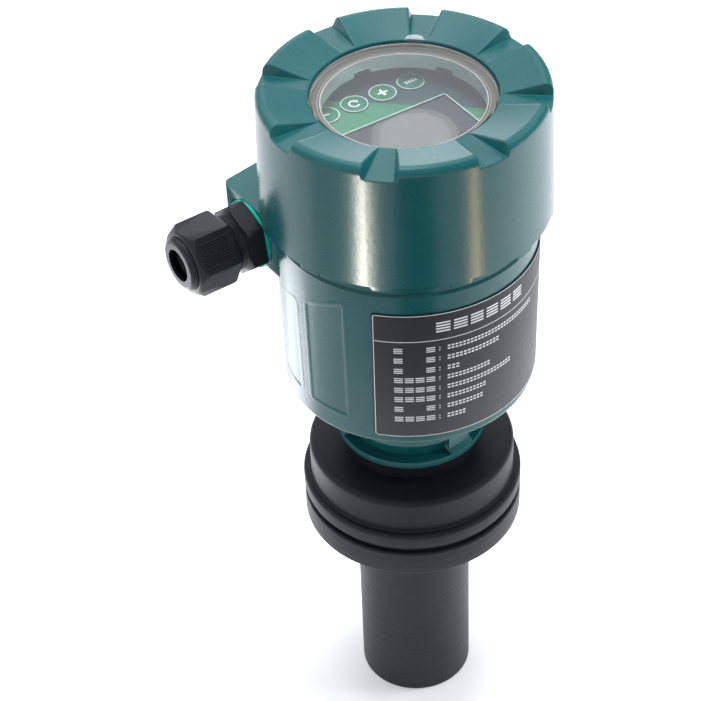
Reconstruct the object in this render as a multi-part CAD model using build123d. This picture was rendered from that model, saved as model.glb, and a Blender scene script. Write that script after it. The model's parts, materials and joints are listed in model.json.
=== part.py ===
# Ultrasonic level sensor: a round cast housing with a screwed window cover, a cable gland on its side,
# a display with four keys, and a probe with its transducer below.
# Millimetres, +Z up. The origin is the centre of the probe's sensing face.
# Azimuths count in degrees from -Y, positive towards +X, as seen by someone in front of the sensor.
import os
from math import cos, pi, radians, sin, sqrt, tan

from build123d import *

# Probe and its flange
PROBE_RADIUS = 23.5
PROBE_WALL = 3.7
MEMBRANE = 2.5
PROBE_FLANGE_RADIUS = 44.7
PROBE_FLANGE_UNDERSIDE = 96.0
PROBE_FLANGE_THICKNESS = 11.5
PROBE_FLANGE_CHAMFER = 0.6
PROBE_END_BEVEL = 0.8

# Transducer inside the probe
MATCHING_THICKNESS = 3.5
PIEZO_RADIUS = 16.0
PIEZO_THICKNESS = 6.0
DAMPING_HEIGHT = 38.0
LEAD_RADIUS = 1.6

# Gasket and adapter above the probe's flange
GASKET_RADIUS = 42.4
GASKET_THICKNESS = 3.6
ADAPTER_FLANGE_RADIUS = 44.8
ADAPTER_FLANGE_THICKNESS = 6.4
ADAPTER_BODY_RADIUS = 41.7
ADAPTER_BODY_HEIGHT = 15.7
ADAPTER_RIM_WIDTH = 4.3
ADAPTER_DISH = 1.0
ADAPTER_EDGE = 0.8
ADAPTER_BEVEL = 0.6
ADAPTER_HUB_RADIUS = 26.5
ADAPTER_HUB_RISE = 7.1
ADAPTER_BORE_RADIUS = 12.0
SPIGOT_HEADROOM = 2.0
LOWER_SPIGOT_RADIUS = 30.0
LOWER_SPIGOT_DEPTH = 5.4
UPPER_SPIGOT_RADIUS = 19.0
UPPER_SPIGOT_HEIGHT = 18.0
NECK_SEAL_THICKNESS = 1.0
NECK_SEAL_WIDTH = 4.5

# Housing casting
NECK_RIM_RADIUS = 29.8
NECK_RIM_HEIGHT = 3.6
NECK_RIM_SLOPE = 1.8
NECK_RADIUS = 28.0
NECK_HEIGHT = 31.4
NECK_POCKET_RADIUS = 24.8
NECK_POCKET_HEIGHT = 7.2
NECK_POCKET_SPAN = 97.0
NECK_POCKET_AZIMUTH = -16.5
NECK_POCKET_COUNT = 3
BODY_BOTTOM_RADIUS = 49.05
BODY_DRAFT = 0.75
BODY_HEIGHT = 73.5
BODY_CORNER = 2.5
BODY_EDGE = 0.8
SHOULDER_STEP = 0.9
SHOULDER_HEIGHT = 2.5
COLLAR_STEP = 3.3
COLLAR_WALL = 3.9
CAVITY_CORNER = 3.0
FLOOR_THICKNESS = 8.0
LEAD_HOLE_RADIUS = 8.0
COLLAR_HEIGHT = 16.3

# Raised pads on the housing: left and right azimuth, then the height of the bottom and both top corners
PAD_PROUD = 0.7
PAD_CORNER = 1.6
PAD_BOTTOM = 10.3
PAD_ROOT = 1.5
PADS = [(-49.9, -28.6, 57.7, 65.5), (-75.8, -57.2, 50.0, 54.5)]

# Cable entry block on the housing's left
ENTRY_AZIMUTH = -54.6
ENTRY_OFFSET = 37.0
ENTRY_SINK = 3.6
ENTRY_WIDTH = 35.4
ENTRY_HEIGHT = 28.0
ENTRY_LENGTH = 28.0
ENTRY_SPLAY = 9.0
ENTRY_BELOW_COVER = 2.55
ENTRY_CORNER = 3.0
ENTRY_BACK_CORNER = 7.0
ENTRY_UNDERSIDE_CORNER = 6.0
ENTRY_BORE_DEPTH = 25.0

# Cable gland, lengths along its axis from the block's face
THREAD_RADIUS = 9.9
THREAD_LENGTH = 13.0
WASHER_THICKNESS = 1.0
WASHER_RADIUS = 13.6
GLAND_HEX = 25.4
GLAND_HEX_LENGTH = 7.2
GLAND_NECK_RADIUS = 11.0
GLAND_NECK_LENGTH = 13.4
GLAND_GAP = 4.6
GLAND_BORE_RADIUS = 8.6
HEX_BEVEL = 1.0
HEX_CORNER_CUT = 0.4
NUT_LENGTH = 17.2
NUT_LIP_LENGTH = 2.4
NUT_LIP_RADIUS = 10.8
NUT_MOUTH_RADIUS = 6.5
NUT_MOUTH_FLARE = 1.6
NUT_LIP_CORNER = 2.2
NUT_DOME = 3.0
NUT_RIB_MARGIN = 3.0
NUT_RIB_COUNT = 9
NUT_RIB_PITCH = 1.0
NUT_RIB_WIDTH = 0.45
NUT_RIB_DEPTH = 0.3
CLAW_WALL = 1.3
CLAW_SLOT_COUNT = 8
CLAW_SLOT_WIDTH = 1.2
CLAW_LENGTH = 13.0
CLAW_ROOT = 3.0
CLAW_SETBACK = 1.2
CABLE_BORE_RADIUS = 4.5
GLAND_HEX_CLOCK = 10.7
NUT_CLOCK = 36.0

# Cover
COVER_LIFT = 3.4
COVER_HEIGHT = 52.25
COVER_BOTTOM_RADIUS = 55.0
COVER_TOP_RADIUS = 53.3
COVER_EDGE = 3.0
COVER_DISH = 4.5
COVER_CAVITY_RADIUS = 47.4
COVER_THREAD_LENGTH = 14.5
COVER_BASKET_DEPTH = 12.9
COVER_BASKET_WALL = 4.0
COVER_BASKET_GROOVE = 6.5
COVER_BASKET_BEVEL = 1.4
TAB_COUNT = 12
TAB_WIDTH = 8.0
TAB_HEIGHT = 1.0
TAB_INNER_RADIUS = 50.8
NOTCH_COUNT = 8
NOTCH_AZIMUTH = -9.8
NOTCH_INNER_RADIUS = 34.8
NOTCH_INNER_WIDTH = 6.2
NOTCH_OUTER_WIDTH = 11.2
NOTCH_FLOOR_DROP = 0.7
NOTCH_WALL_DRAFT = 18.0
SEAL_SETBACK = 0.7
SEAL_SEAT_MARGIN = 0.2

# Window
WINDOW_RADIUS = 34.3
WINDOW_LIP = 3.3
GLASS_RECESS = 0.8
GLASS_THICKNESS = 5.5
GLASS_FLANGE_RADIUS = 39.8
GLASS_FLANGE_THICKNESS = 2.8
GLASS_BEVEL = 0.5
RETAINING_THREAD_RADIUS = 40.2
RETAINING_BORE_RADIUS = 30.0
RETAINING_HEIGHT = 5.4
RETAINING_SLOT_COUNT = 6
RETAINING_SLOT_ANGLE = 14.0
RETAINING_SLOT_DEPTH = 1.8
WINDOW_GASKET_THICKNESS = 0.6
WINDOW_GASKET_RADIUS = 39.4
FILM_THICKNESS = 0.2
FILM_TAB_AZIMUTH = 172.5
FILM_TAB_WIDTH = 7.0
FILM_TAB_REACH = 3.2
FILM_TAB_RISE = 1.4
FILM_TAB_ROOT = 2.4
FILM_TAB_SLOPE = 1.9

# Electronics: boards, pillars, display and keys
BOARD_THICKNESS = 1.6
MAIN_BOARD_MARGIN = 4.1
# Capacitors: place, radius, height. Chips and transformer: place, width, depth, height
CAPACITORS = [(-20.0, -16.0, 5.0, 12.0), (-15.0, -27.0, 4.0, 9.0)]
CHIPS = [(18.0, -17.0, 16.0, 13.0, 11.0), (16.0, 24.0, 10.0, 10.0, 1.6), (-16.0, 24.0, 8.0, 5.0, 1.8)]
BOSS_HEIGHT = 32.0
BOSS_RADIUS = 4.5
PILLAR_RADIUS = 31.5
PILLAR_ANGLES = [15.0, 165.0, 270.0]
PILLAR_HEX = 5.5
STUD_RADIUS = 1.5
STUD_LENGTH = 6.0
DISPLAY_TURN = 33.5
DISPLAY_DEPTH = 17.85
DISPLAY_RADIUS = 38.0
DISPLAY_WALL = 1.8
DISPLAY_BOARD_RADIUS = 35.4
DISPLAY_BAY = 4.4
DISPLAY_PLATE = 2.0
DISPLAY_BOSS_RADIUS = 3.4
OVERLAY_THICKNESS = 0.5
OVERLAY_RADIUS = 37.2
LCD_WINDOW = (47.0, 25.5)
LCD_CENTRE = (0.0, -4.4)
LCD_BORDER = 1.5
KEY_RADIUS = 5.3
KEY_ROW = 22.3
KEY_COLUMNS = [-19.6, -7.1, 5.4, 17.9]
KEY_PROUD = 0.5
KEY_BEVEL = 0.3
KEY_FLANGE = 0.8
KEY_FLANGE_THICKNESS = 0.8
KEY_TRAVEL = 0.4
SWITCH_SIZE = 4.5
SWITCH_BUTTON_RADIUS = 1.6
SWITCH_BUTTON_HEIGHT = 0.5
TERMINAL_COUNT = 5
TERMINAL_PITCH = 5.0
TERMINAL_DEPTH = 9.0
TERMINAL_HEIGHT = 10.5
TERMINAL_CENTRE = (-4.0, 0.0)
TERMINAL_BEVEL = 1.2
TERMINAL_MOUTH = (2.6, 3.0)
TERMINAL_MOUTH_HEIGHTS = (1.5, 4.5)
TERMINAL_SCREW_RADIUS = 1.9
TERMINAL_SCREW_HEIGHT = 2.2
TERMINAL_SCREW_SINK = 3.0
SCREW_SLOT_WIDTH = 0.7
SCREW_SLOT_DEPTH = 1.0
RIBBON_WIDTH = 12.0
RIBBON_THICKNESS = 1.0
RIBBON_CENTRE = (0.0, -21.0)
SOCKET_SIZE = (15.0, 4.0, 5.0)
SOCKET_FLOOR = 1.0

# Nameplate on the housing's front
PLATE_THICKNESS = 0.4
PLATE_ADHESIVE = 0.15
PLATE_LEFT = -16.0
PLATE_RIGHT = 88.0
PLATE_TOP = 64.8
PLATE_BOTTOM = 5.1

# Clearances
THREAD_GAP = 0.25
FIT_GAP = 0.05
SLIDE_GAP = 0.2
SEAT_GAP = 0.1
WINDOW_GAP = 0.3
OVERCUT = 1.0

# Radii that follow from the housing's wall
body_top_radius = BODY_BOTTOM_RADIUS + BODY_DRAFT
shoulder_radius = body_top_radius - SHOULDER_STEP
cover_seal_radius = shoulder_radius - SEAL_SETBACK
collar_radius = body_top_radius - COLLAR_STEP
cavity_radius = collar_radius - COLLAR_WALL
main_board_radius = cavity_radius - MAIN_BOARD_MARGIN
entry_face = body_top_radius - ENTRY_SINK

# Heights that follow from the sizes above
probe_top = PROBE_FLANGE_UNDERSIDE + PROBE_FLANGE_THICKNESS
adapter_bottom = probe_top + GASKET_THICKNESS
adapter_shelf = adapter_bottom + ADAPTER_FLANGE_THICKNESS
adapter_top = adapter_shelf + ADAPTER_BODY_HEIGHT
hub_top = adapter_top + ADAPTER_HUB_RISE
neck_bottom = hub_top
body_bottom = neck_bottom + NECK_HEIGHT
floor_top = body_bottom + FLOOR_THICKNESS
shoulder_bottom = body_bottom + BODY_HEIGHT
shoulder_top = shoulder_bottom + SHOULDER_HEIGHT
collar_top = shoulder_top + COLLAR_HEIGHT
cover_bottom = shoulder_top + COVER_LIFT
cover_top = cover_bottom + COVER_HEIGHT
window_edge = cover_top - COVER_DISH
window_seat = window_edge - WINDOW_LIP
basket_bottom = window_edge - COVER_BASKET_DEPTH
glass_top = window_edge - GLASS_RECESS
glass_bottom = glass_top - GLASS_THICKNESS
retaining_top = glass_bottom - WINDOW_GASKET_THICKNESS
entry_top = cover_bottom - ENTRY_BELOW_COVER
entry_height = entry_top - ENTRY_HEIGHT / 2
main_board_bottom = floor_top + BOSS_HEIGHT
main_board_top = main_board_bottom + BOARD_THICKNESS
screw_seat = main_board_top + TERMINAL_HEIGHT - TERMINAL_SCREW_SINK
overlay_top = window_edge - DISPLAY_DEPTH
display_plate_top = overlay_top - OVERLAY_THICKNESS
display_plate_bottom = display_plate_top - DISPLAY_PLATE
display_board_top = display_plate_bottom - DISPLAY_BAY
display_board_bottom = display_board_top - BOARD_THICKNESS
neck_bore_radius = UPPER_SPIGOT_RADIUS + THREAD_GAP
neck_bore_top = neck_bottom + UPPER_SPIGOT_HEIGHT + SPIGOT_HEADROOM
probe_bore_radius = PROBE_RADIUS - PROBE_WALL
key_hole_radius = KEY_RADIUS + SLIDE_GAP
window_clear_radius = WINDOW_RADIUS - WINDOW_GAP
film_radius = window_clear_radius - WINDOW_GAP


def disc(radius, bottom, top, bore=0.0):
    """A round plate or ring about Z."""
    shape = Pos(0, 0, bottom) * Cylinder(radius, top - bottom, align=(Align.CENTER, Align.CENTER, Align.MIN))
    if bore:
        shape -= Pos(0, 0, bottom - OVERCUT) * Cylinder(
            bore, top - bottom + 2 * OVERCUT, align=(Align.CENTER, Align.CENTER, Align.MIN)
        )
    return shape


def turned(points, rounds=(), bevels=()):
    """A solid of revolution about Z from (radius, height) points, with some corners rounded or bevelled."""
    face = make_face(Plane.XZ * Polyline(*points, close=True)).face()
    for index, radius in rounds:
        r, z = points[index]
        corner = min(face.vertices(), key=lambda v: (v.X - r) ** 2 + (v.Z - z) ** 2)
        face = face.fillet_2d(radius, [corner])
    for index, size in bevels:
        r, z = points[index]
        corner = min(face.vertices(), key=lambda v: (v.X - r) ** 2 + (v.Z - z) ** 2)
        face = face.chamfer_2d(size, size, [corner])
    return revolve(face, Axis.Z)


def block(width, depth, bottom, top, x=0.0, y=0.0):
    """A straight-sided block that stands on a height."""
    return Pos(x, y, bottom) * Box(width, depth, top - bottom, align=(Align.CENTER, Align.CENTER, Align.MIN))


def hexagon(across_flats, bottom, top, clock=0.0):
    """A hexagonal bar about Z whose first flat faces the clock angle from X."""
    outline = RegularPolygon(across_flats / 2, 6, major_radius=False, rotation=30.0 + clock)
    return extrude(Pos(0, 0, bottom) * outline, top - bottom)


def spread(count, start=0.0):
    """Rotations about Z that repeat a piece evenly, the first at the start angle."""
    return [Rot(0, 0, start + index * 360.0 / count) for index in range(count)]


def facing(azimuth):
    """A rotation that turns +X to an azimuth counted from -Y towards +X."""
    return Rot(0, 0, azimuth - 90.0)


def on_display(x, y):
    """A place on the display, which is turned against the housing."""
    return Rot(0, 0, DISPLAY_TURN) * Pos(x, y, 0)


def sector(span):
    """A tall wedge about +X that cuts an angle out of a ring."""
    half = radians(span / 2)
    far = body_top_radius * 2
    side = (far * cos(half), far * sin(half))
    return extrude(make_face(Polyline((0, 0), (side[0], -side[1]), (far * 2, 0), side, close=True)), cover_top)


def body_radius(height):
    """Radius of the housing's drafted wall at a height above its bottom edge."""
    return BODY_BOTTOM_RADIUS + (body_top_radius - BODY_BOTTOM_RADIUS) * height / BODY_HEIGHT


def wall_skin(outer, inner, low, high):
    """A thin layer that follows the drafted wall, proud by outer and sunk by inner."""
    return turned([
        (body_radius(low) - inner, body_bottom + low),
        (body_radius(low) + outer, body_bottom + low),
        (body_radius(high) + outer, body_bottom + high),
        (body_radius(high) - inner, body_bottom + high),
    ])


def probe_housing():
    flange = [
        (0, 0), (PROBE_RADIUS, 0), (PROBE_RADIUS, PROBE_FLANGE_UNDERSIDE),
        (PROBE_FLANGE_RADIUS - PROBE_FLANGE_CHAMFER, PROBE_FLANGE_UNDERSIDE),
        (PROBE_FLANGE_RADIUS, PROBE_FLANGE_UNDERSIDE + PROBE_FLANGE_CHAMFER),
        (PROBE_FLANGE_RADIUS, probe_top),
        (LOWER_SPIGOT_RADIUS + THREAD_GAP, probe_top),
        (LOWER_SPIGOT_RADIUS + THREAD_GAP, probe_top - LOWER_SPIGOT_DEPTH - SEAT_GAP),
        (probe_bore_radius, probe_top - LOWER_SPIGOT_DEPTH - SEAT_GAP),
        (probe_bore_radius, MEMBRANE), (0, MEMBRANE),
    ]
    return turned(flange, bevels=[(1, PROBE_END_BEVEL)])


def matching_layer():
    return disc(probe_bore_radius - FIT_GAP, MEMBRANE, MEMBRANE + MATCHING_THICKNESS)


def piezo_disc():
    bottom = MEMBRANE + MATCHING_THICKNESS
    return disc(PIEZO_RADIUS, bottom, bottom + PIEZO_THICKNESS)


def damping_block():
    bottom = MEMBRANE + MATCHING_THICKNESS
    piezo_top = bottom + PIEZO_THICKNESS
    cup = disc(probe_bore_radius - FIT_GAP, bottom, bottom + DAMPING_HEIGHT)
    cup -= disc(PIEZO_RADIUS + FIT_GAP, bottom - OVERCUT, piezo_top)
    return cup - disc(LEAD_RADIUS + FIT_GAP, bottom, bottom + DAMPING_HEIGHT + OVERCUT)


def transducer_lead():
    bottom = MEMBRANE + MATCHING_THICKNESS + PIEZO_THICKNESS
    return disc(LEAD_RADIUS, bottom, main_board_bottom)


def flange_gasket():
    return disc(GASKET_RADIUS, probe_top, adapter_bottom, LOWER_SPIGOT_RADIUS + SEAT_GAP)


def adapter_ring():
    spigot_bottom = probe_top - LOWER_SPIGOT_DEPTH
    dish_radius = ADAPTER_BODY_RADIUS - ADAPTER_RIM_WIDTH
    spigot_top = hub_top + UPPER_SPIGOT_HEIGHT
    outline = [
        (ADAPTER_BORE_RADIUS, spigot_bottom), (LOWER_SPIGOT_RADIUS, spigot_bottom),
        (LOWER_SPIGOT_RADIUS, adapter_bottom), (ADAPTER_FLANGE_RADIUS, adapter_bottom),
        (ADAPTER_FLANGE_RADIUS, adapter_shelf), (ADAPTER_BODY_RADIUS, adapter_shelf),
        (ADAPTER_BODY_RADIUS, adapter_top), (dish_radius, adapter_top),
        (dish_radius - ADAPTER_DISH, adapter_top - ADAPTER_DISH),
        (ADAPTER_HUB_RADIUS, adapter_top - ADAPTER_DISH), (ADAPTER_HUB_RADIUS, hub_top),
        (UPPER_SPIGOT_RADIUS, hub_top), (UPPER_SPIGOT_RADIUS, spigot_top),
        (ADAPTER_BORE_RADIUS, spigot_top),
    ]
    return turned(outline, [(6, ADAPTER_EDGE)], [(3, ADAPTER_BEVEL), (4, ADAPTER_BEVEL), (12, ADAPTER_BEVEL)])


def neck_seal():
    outer = neck_bore_radius + NECK_SEAL_WIDTH
    return disc(outer, neck_bottom, neck_bottom + NECK_SEAL_THICKNESS, neck_bore_radius)


def entry_frame():
    """The plane of the entry block's face, with its X along the gland's axis and its Z up."""
    return facing(ENTRY_AZIMUTH) * Pos(entry_face, -ENTRY_OFFSET, entry_height)


def on_gland(shape):
    """Moves a piece drawn about Z onto the gland's axis, with its bottom on the block's face."""
    return entry_frame() * (Rot(0, 90, 0) * (Rot(0, 0, 90) * shape))


def entry_block():
    """The lug that carries the gland, with its outer wall splayed away from the gland's axis."""
    half = ENTRY_WIDTH / 2
    splay = ENTRY_LENGTH * tan(radians(ENTRY_SPLAY))
    plan = make_face(Polyline(
        (0, half), (0, -half), (-ENTRY_LENGTH, -half - splay), (-ENTRY_LENGTH, half), close=True)).face()
    outer = sorted((v for v in plan.vertices() if v.Y < 0), key=lambda v: v.X)
    plan = plan.fillet_2d(ENTRY_BACK_CORNER, outer[:1])
    face_corner = max((v for v in plan.vertices() if v.Y < 0), key=lambda v: v.X)
    plan = plan.fillet_2d(ENTRY_CORNER, [face_corner])
    lug = extrude(plan, ENTRY_HEIGHT / 2, both=True)
    lower = lug.faces().sort_by(Axis.Z)[0].edges()
    lug = fillet([e for e in lower if e.center().Y < half - OVERCUT], ENTRY_UNDERSIDE_CORNER)
    return entry_frame() * lug


def pad(left, right, left_top, right_top):
    """A raised field on the drafted wall, with a sloped top edge."""
    middle = (left + right) / 2
    reach = BODY_BOTTOM_RADIUS * sin(radians((right - left) / 2))
    low = body_bottom + PAD_BOTTOM
    outline = make_face(Polyline(
        (-reach, low), (reach, low), (reach, body_bottom + right_top), (-reach, body_bottom + left_top),
        close=True)).face()
    outline = outline.fillet_2d(PAD_CORNER, outline.vertices())
    prism = extrude(Plane.YZ * outline, body_top_radius * 2)
    skin = wall_skin(PAD_PROUD, PAD_ROOT, PAD_BOTTOM - OVERCUT, max(left_top, right_top) + OVERCUT)
    return (facing(middle) * prism) & skin


def neck_pocket():
    """One shallow pocket round the neck, between two ribs."""
    low = neck_bottom + NECK_RIM_HEIGHT
    ring = disc(NECK_RIM_RADIUS + OVERCUT, low, low + NECK_POCKET_HEIGHT, NECK_POCKET_RADIUS)
    return ring & sector(NECK_POCKET_SPAN)


def housing():
    outline = [
        (0, neck_bore_top), (neck_bore_radius, neck_bore_top),
        (neck_bore_radius, neck_bottom), (NECK_RIM_RADIUS, neck_bottom),
        (NECK_RIM_RADIUS, neck_bottom + NECK_RIM_HEIGHT), (NECK_RADIUS, neck_bottom + NECK_RIM_HEIGHT + NECK_RIM_SLOPE),
        (NECK_RADIUS, body_bottom), (BODY_BOTTOM_RADIUS, body_bottom), (body_top_radius, shoulder_bottom),
        (shoulder_radius, shoulder_bottom), (shoulder_radius, shoulder_top),
        (collar_radius, shoulder_top), (collar_radius, collar_top), (0, collar_top),
    ]
    shape = turned(outline, [(7, BODY_CORNER)], [(3, BODY_EDGE), (8, BODY_EDGE), (12, BODY_EDGE)])
    shape += entry_block()
    seal_clear = cover_seal_radius + COVER_LIFT / 2 + SEAL_SEAT_MARGIN
    shape -= disc(seal_clear, shoulder_top, entry_top + OVERCUT, collar_radius)
    for left, right, left_top, right_top in PADS:
        shape += pad(left, right, left_top, right_top)
    for turn in spread(NECK_POCKET_COUNT, NECK_POCKET_AZIMUTH - 90.0):
        shape -= turn * neck_pocket()
    cavity = turned([
        (0, floor_top), (cavity_radius, floor_top), (cavity_radius, collar_top + OVERCUT),
        (0, collar_top + OVERCUT)], bevels=[(1, CAVITY_CORNER)])
    shape -= cavity
    shape -= disc(LEAD_HOLE_RADIUS, neck_bottom, floor_top + OVERCUT)
    seal_seat = neck_bore_radius + NECK_SEAL_WIDTH + SEAT_GAP
    shape -= disc(seal_seat, neck_bottom - OVERCUT, neck_bottom + NECK_SEAL_THICKNESS)
    shape -= on_gland(disc(THREAD_RADIUS + THREAD_GAP, -ENTRY_BORE_DEPTH, OVERCUT))
    for angle in PILLAR_ANGLES:
        spot = Rot(0, 0, DISPLAY_TURN + angle) * Pos(PILLAR_RADIUS, 0, 0)
        shape += spot * disc(BOSS_RADIUS, floor_top - OVERCUT, main_board_bottom)
        shape -= spot * disc(STUD_RADIUS + SEAT_GAP, main_board_bottom - STUD_LENGTH - SEAT_GAP,
                             main_board_bottom + OVERCUT)
    return shape


def nameplate():
    """A thin printed plate bent round the housing's front."""
    skin = wall_skin(PLATE_ADHESIVE + PLATE_THICKNESS, -PLATE_ADHESIVE, PLATE_BOTTOM, PLATE_TOP)
    middle = (PLATE_LEFT + PLATE_RIGHT) / 2
    return skin & (facing(middle) * sector(PLATE_RIGHT - PLATE_LEFT))


def cover():
    lean = (COVER_TOP_RADIUS - COVER_BOTTOM_RADIUS) / COVER_HEIGHT
    basket_radius = RETAINING_THREAD_RADIUS + THREAD_GAP
    basket_outer = basket_radius + COVER_BASKET_WALL
    groove_top = basket_bottom + COVER_BASKET_GROOVE
    thread_top = cover_bottom + COVER_THREAD_LENGTH
    outline = [
        (collar_radius + THREAD_GAP, cover_bottom), (COVER_BOTTOM_RADIUS, cover_bottom),
        (COVER_BOTTOM_RADIUS + lean * COVER_HEIGHT, cover_top), (WINDOW_RADIUS, window_edge),
        (WINDOW_RADIUS, window_seat), (basket_radius, window_seat), (basket_radius, basket_bottom),
        (basket_outer, basket_bottom), (basket_outer, groove_top), (COVER_CAVITY_RADIUS, groove_top),
        (COVER_CAVITY_RADIUS, thread_top), (collar_radius + THREAD_GAP, thread_top),
    ]
    shape = turned(outline, [(2, COVER_EDGE)], [(8, COVER_BASKET_BEVEL), (9, COVER_BASKET_BEVEL)])
    for turn in spread(NOTCH_COUNT, NOTCH_AZIMUTH - 90.0):
        shape -= turn * notch()
    return shape - tab_gaps()


def notch():
    """One radial notch in the cover's top: it widens and deepens outwards and has drafted walls."""
    sections = []
    for radius, width, floor in (
            (NOTCH_INNER_RADIUS, NOTCH_INNER_WIDTH, window_edge),
            (COVER_BOTTOM_RADIUS + 2, NOTCH_OUTER_WIDTH, window_edge - NOTCH_FLOOR_DROP)):
        rise = COVER_DISH * 3
        flare = rise * tan(radians(NOTCH_WALL_DRAFT))
        sections.append(make_face(Polyline(
            (radius, -width / 2, floor), (radius, width / 2, floor),
            (radius, width / 2 + flare, floor + rise), (radius, -width / 2 - flare, floor + rise), close=True)))
    return loft(sections, ruled=True)


def tab_gaps():
    """What is cut between the grip tabs along the cover's bottom rim."""
    ring = disc(COVER_BOTTOM_RADIUS + 2, cover_bottom - OVERCUT, cover_bottom + TAB_HEIGHT, TAB_INNER_RADIUS)
    for turn in spread(TAB_COUNT, NOTCH_AZIMUTH - 90.0):
        ring -= turn * block(COVER_BOTTOM_RADIUS, TAB_WIDTH, cover_bottom - 2 * OVERCUT,
                             cover_bottom + TAB_HEIGHT + OVERCUT, x=COVER_BOTTOM_RADIUS)
    return ring


def cover_seal():
    """The ring between the housing's shoulder and the cover, with an octagonal section."""
    half = COVER_LIFT / 2 - SEAT_GAP
    flat = half * tan(pi / 8)
    middle = shoulder_top + COVER_LIFT / 2
    corners = [(half, flat), (flat, half), (-flat, half), (-half, flat)]
    corners += [(-x, -z) for x, z in corners]
    return turned([(cover_seal_radius + x, middle + z) for x, z in corners])


def window_glass():
    flange_top = glass_bottom + GLASS_FLANGE_THICKNESS
    return turned([
        (0, glass_bottom), (GLASS_FLANGE_RADIUS, glass_bottom), (GLASS_FLANGE_RADIUS, flange_top),
        (window_clear_radius, flange_top), (window_clear_radius, glass_top), (0, glass_top)],
        bevels=[(4, GLASS_BEVEL)])


def window_gasket():
    return disc(WINDOW_GASKET_RADIUS, retaining_top, glass_bottom, RETAINING_BORE_RADIUS)


def retaining_ring():
    bottom = retaining_top - RETAINING_HEIGHT
    ring = disc(RETAINING_THREAD_RADIUS, bottom, retaining_top, RETAINING_BORE_RADIUS)
    width = 2 * RETAINING_BORE_RADIUS * tan(radians(RETAINING_SLOT_ANGLE / 2))
    for turn in spread(RETAINING_SLOT_COUNT):
        ring -= turn * block(GLASS_FLANGE_RADIUS, width, bottom - OVERCUT, bottom + RETAINING_SLOT_DEPTH,
                             x=GLASS_FLANGE_RADIUS)
    return ring


def protective_film():
    """A clear film on the glass, with a tab that stands over the window's edge."""
    film = disc(film_radius, glass_top, glass_top + FILM_THICKNESS)
    root = WINDOW_RADIUS - FILM_TAB_ROOT
    bend = root + FILM_TAB_SLOPE
    end = WINDOW_RADIUS + FILM_TAB_REACH
    lift = window_edge + FILM_TAB_RISE
    side = Plane(origin=(0, FILM_TAB_WIDTH / 2, 0), x_dir=(1, 0, 0), z_dir=(0, -1, 0))
    tab = extrude(side * make_face(Polyline(
        (root, glass_top), (root, glass_top + FILM_THICKNESS), (bend, lift), (end, lift),
        (end, lift - FILM_THICKNESS), (bend + FILM_THICKNESS, lift - FILM_THICKNESS),
        (root + FILM_THICKNESS, glass_top), close=True)), FILM_TAB_WIDTH)
    return film + facing(FILM_TAB_AZIMUTH) * tab


def main_board():
    board = disc(main_board_radius, main_board_bottom, main_board_top)
    for angle in PILLAR_ANGLES:
        board -= Rot(0, 0, DISPLAY_TURN + angle) * Pos(PILLAR_RADIUS, 0, 0) * disc(
            STUD_RADIUS + SEAT_GAP, main_board_bottom - OVERCUT, main_board_top + OVERCUT)
    return board


def board_parts():
    """Capacitors, a transformer and chips on the main board, as separate solids."""
    parts = []
    for x, y, radius, height in CAPACITORS:
        parts.append(on_display(x, y) * disc(radius, main_board_top, main_board_top + height))
    for x, y, width, depth, height in CHIPS:
        parts.append(on_display(x, y) * block(width, depth, main_board_top, main_board_top + height))
    return Compound(children=parts)


def terminal_block():
    length = TERMINAL_COUNT * TERMINAL_PITCH
    x, y = TERMINAL_CENTRE
    body = block(length, TERMINAL_DEPTH, main_board_top, main_board_top + TERMINAL_HEIGHT)
    body = chamfer(body.edges().filter_by(Axis.X).sort_by(Axis.Z)[-2:], TERMINAL_BEVEL)
    mouth_low, mouth_high = TERMINAL_MOUTH_HEIGHTS
    for column in terminal_columns():
        body -= Pos(column, 0, 0) * disc(
            TERMINAL_SCREW_RADIUS + SEAT_GAP, screw_seat, main_board_top + TERMINAL_HEIGHT + OVERCUT)
        body -= block(*TERMINAL_MOUTH, main_board_top + mouth_low, main_board_top + mouth_high,
                      x=column, y=-TERMINAL_DEPTH / 2)
    return on_display(x, y) * body


def terminal_columns():
    return [(index - (TERMINAL_COUNT - 1) / 2) * TERMINAL_PITCH for index in range(TERMINAL_COUNT)]


def terminal_screws():
    x, y = TERMINAL_CENTRE
    top = screw_seat + TERMINAL_SCREW_HEIGHT
    screws = []
    for column in terminal_columns():
        screw = disc(TERMINAL_SCREW_RADIUS, screw_seat, top)
        screw -= block(TERMINAL_SCREW_RADIUS * 2, SCREW_SLOT_WIDTH, top - SCREW_SLOT_DEPTH, top + OVERCUT)
        screws.append(on_display(x, y) * Pos(column, 0, 0) * screw)
    return Compound(children=screws)


def pillars():
    """Three hexagonal standoffs with studs that hold both boards."""
    pieces = []
    for angle in PILLAR_ANGLES:
        post = hexagon(PILLAR_HEX, main_board_top, display_board_bottom)
        post += disc(STUD_RADIUS, main_board_bottom - STUD_LENGTH, main_board_top)
        post += disc(STUD_RADIUS, display_board_bottom, display_board_top + DISPLAY_BAY - SEAT_GAP)
        pieces.append(Rot(0, 0, DISPLAY_TURN + angle) * Pos(PILLAR_RADIUS, 0, 0) * post)
    return Compound(children=pieces)


def display_board():
    board = disc(DISPLAY_BOARD_RADIUS, display_board_bottom, display_board_top)
    for angle in PILLAR_ANGLES:
        board -= Rot(0, 0, DISPLAY_TURN + angle) * Pos(PILLAR_RADIUS, 0, 0) * disc(
            STUD_RADIUS + SEAT_GAP, display_board_bottom - OVERCUT, display_board_top + OVERCUT)
    return board


def lcd_opening(grow, bottom, top):
    width, height = LCD_WINDOW
    return block(width + 2 * grow, height + 2 * grow, bottom, top, x=LCD_CENTRE[0], y=LCD_CENTRE[1])


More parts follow.
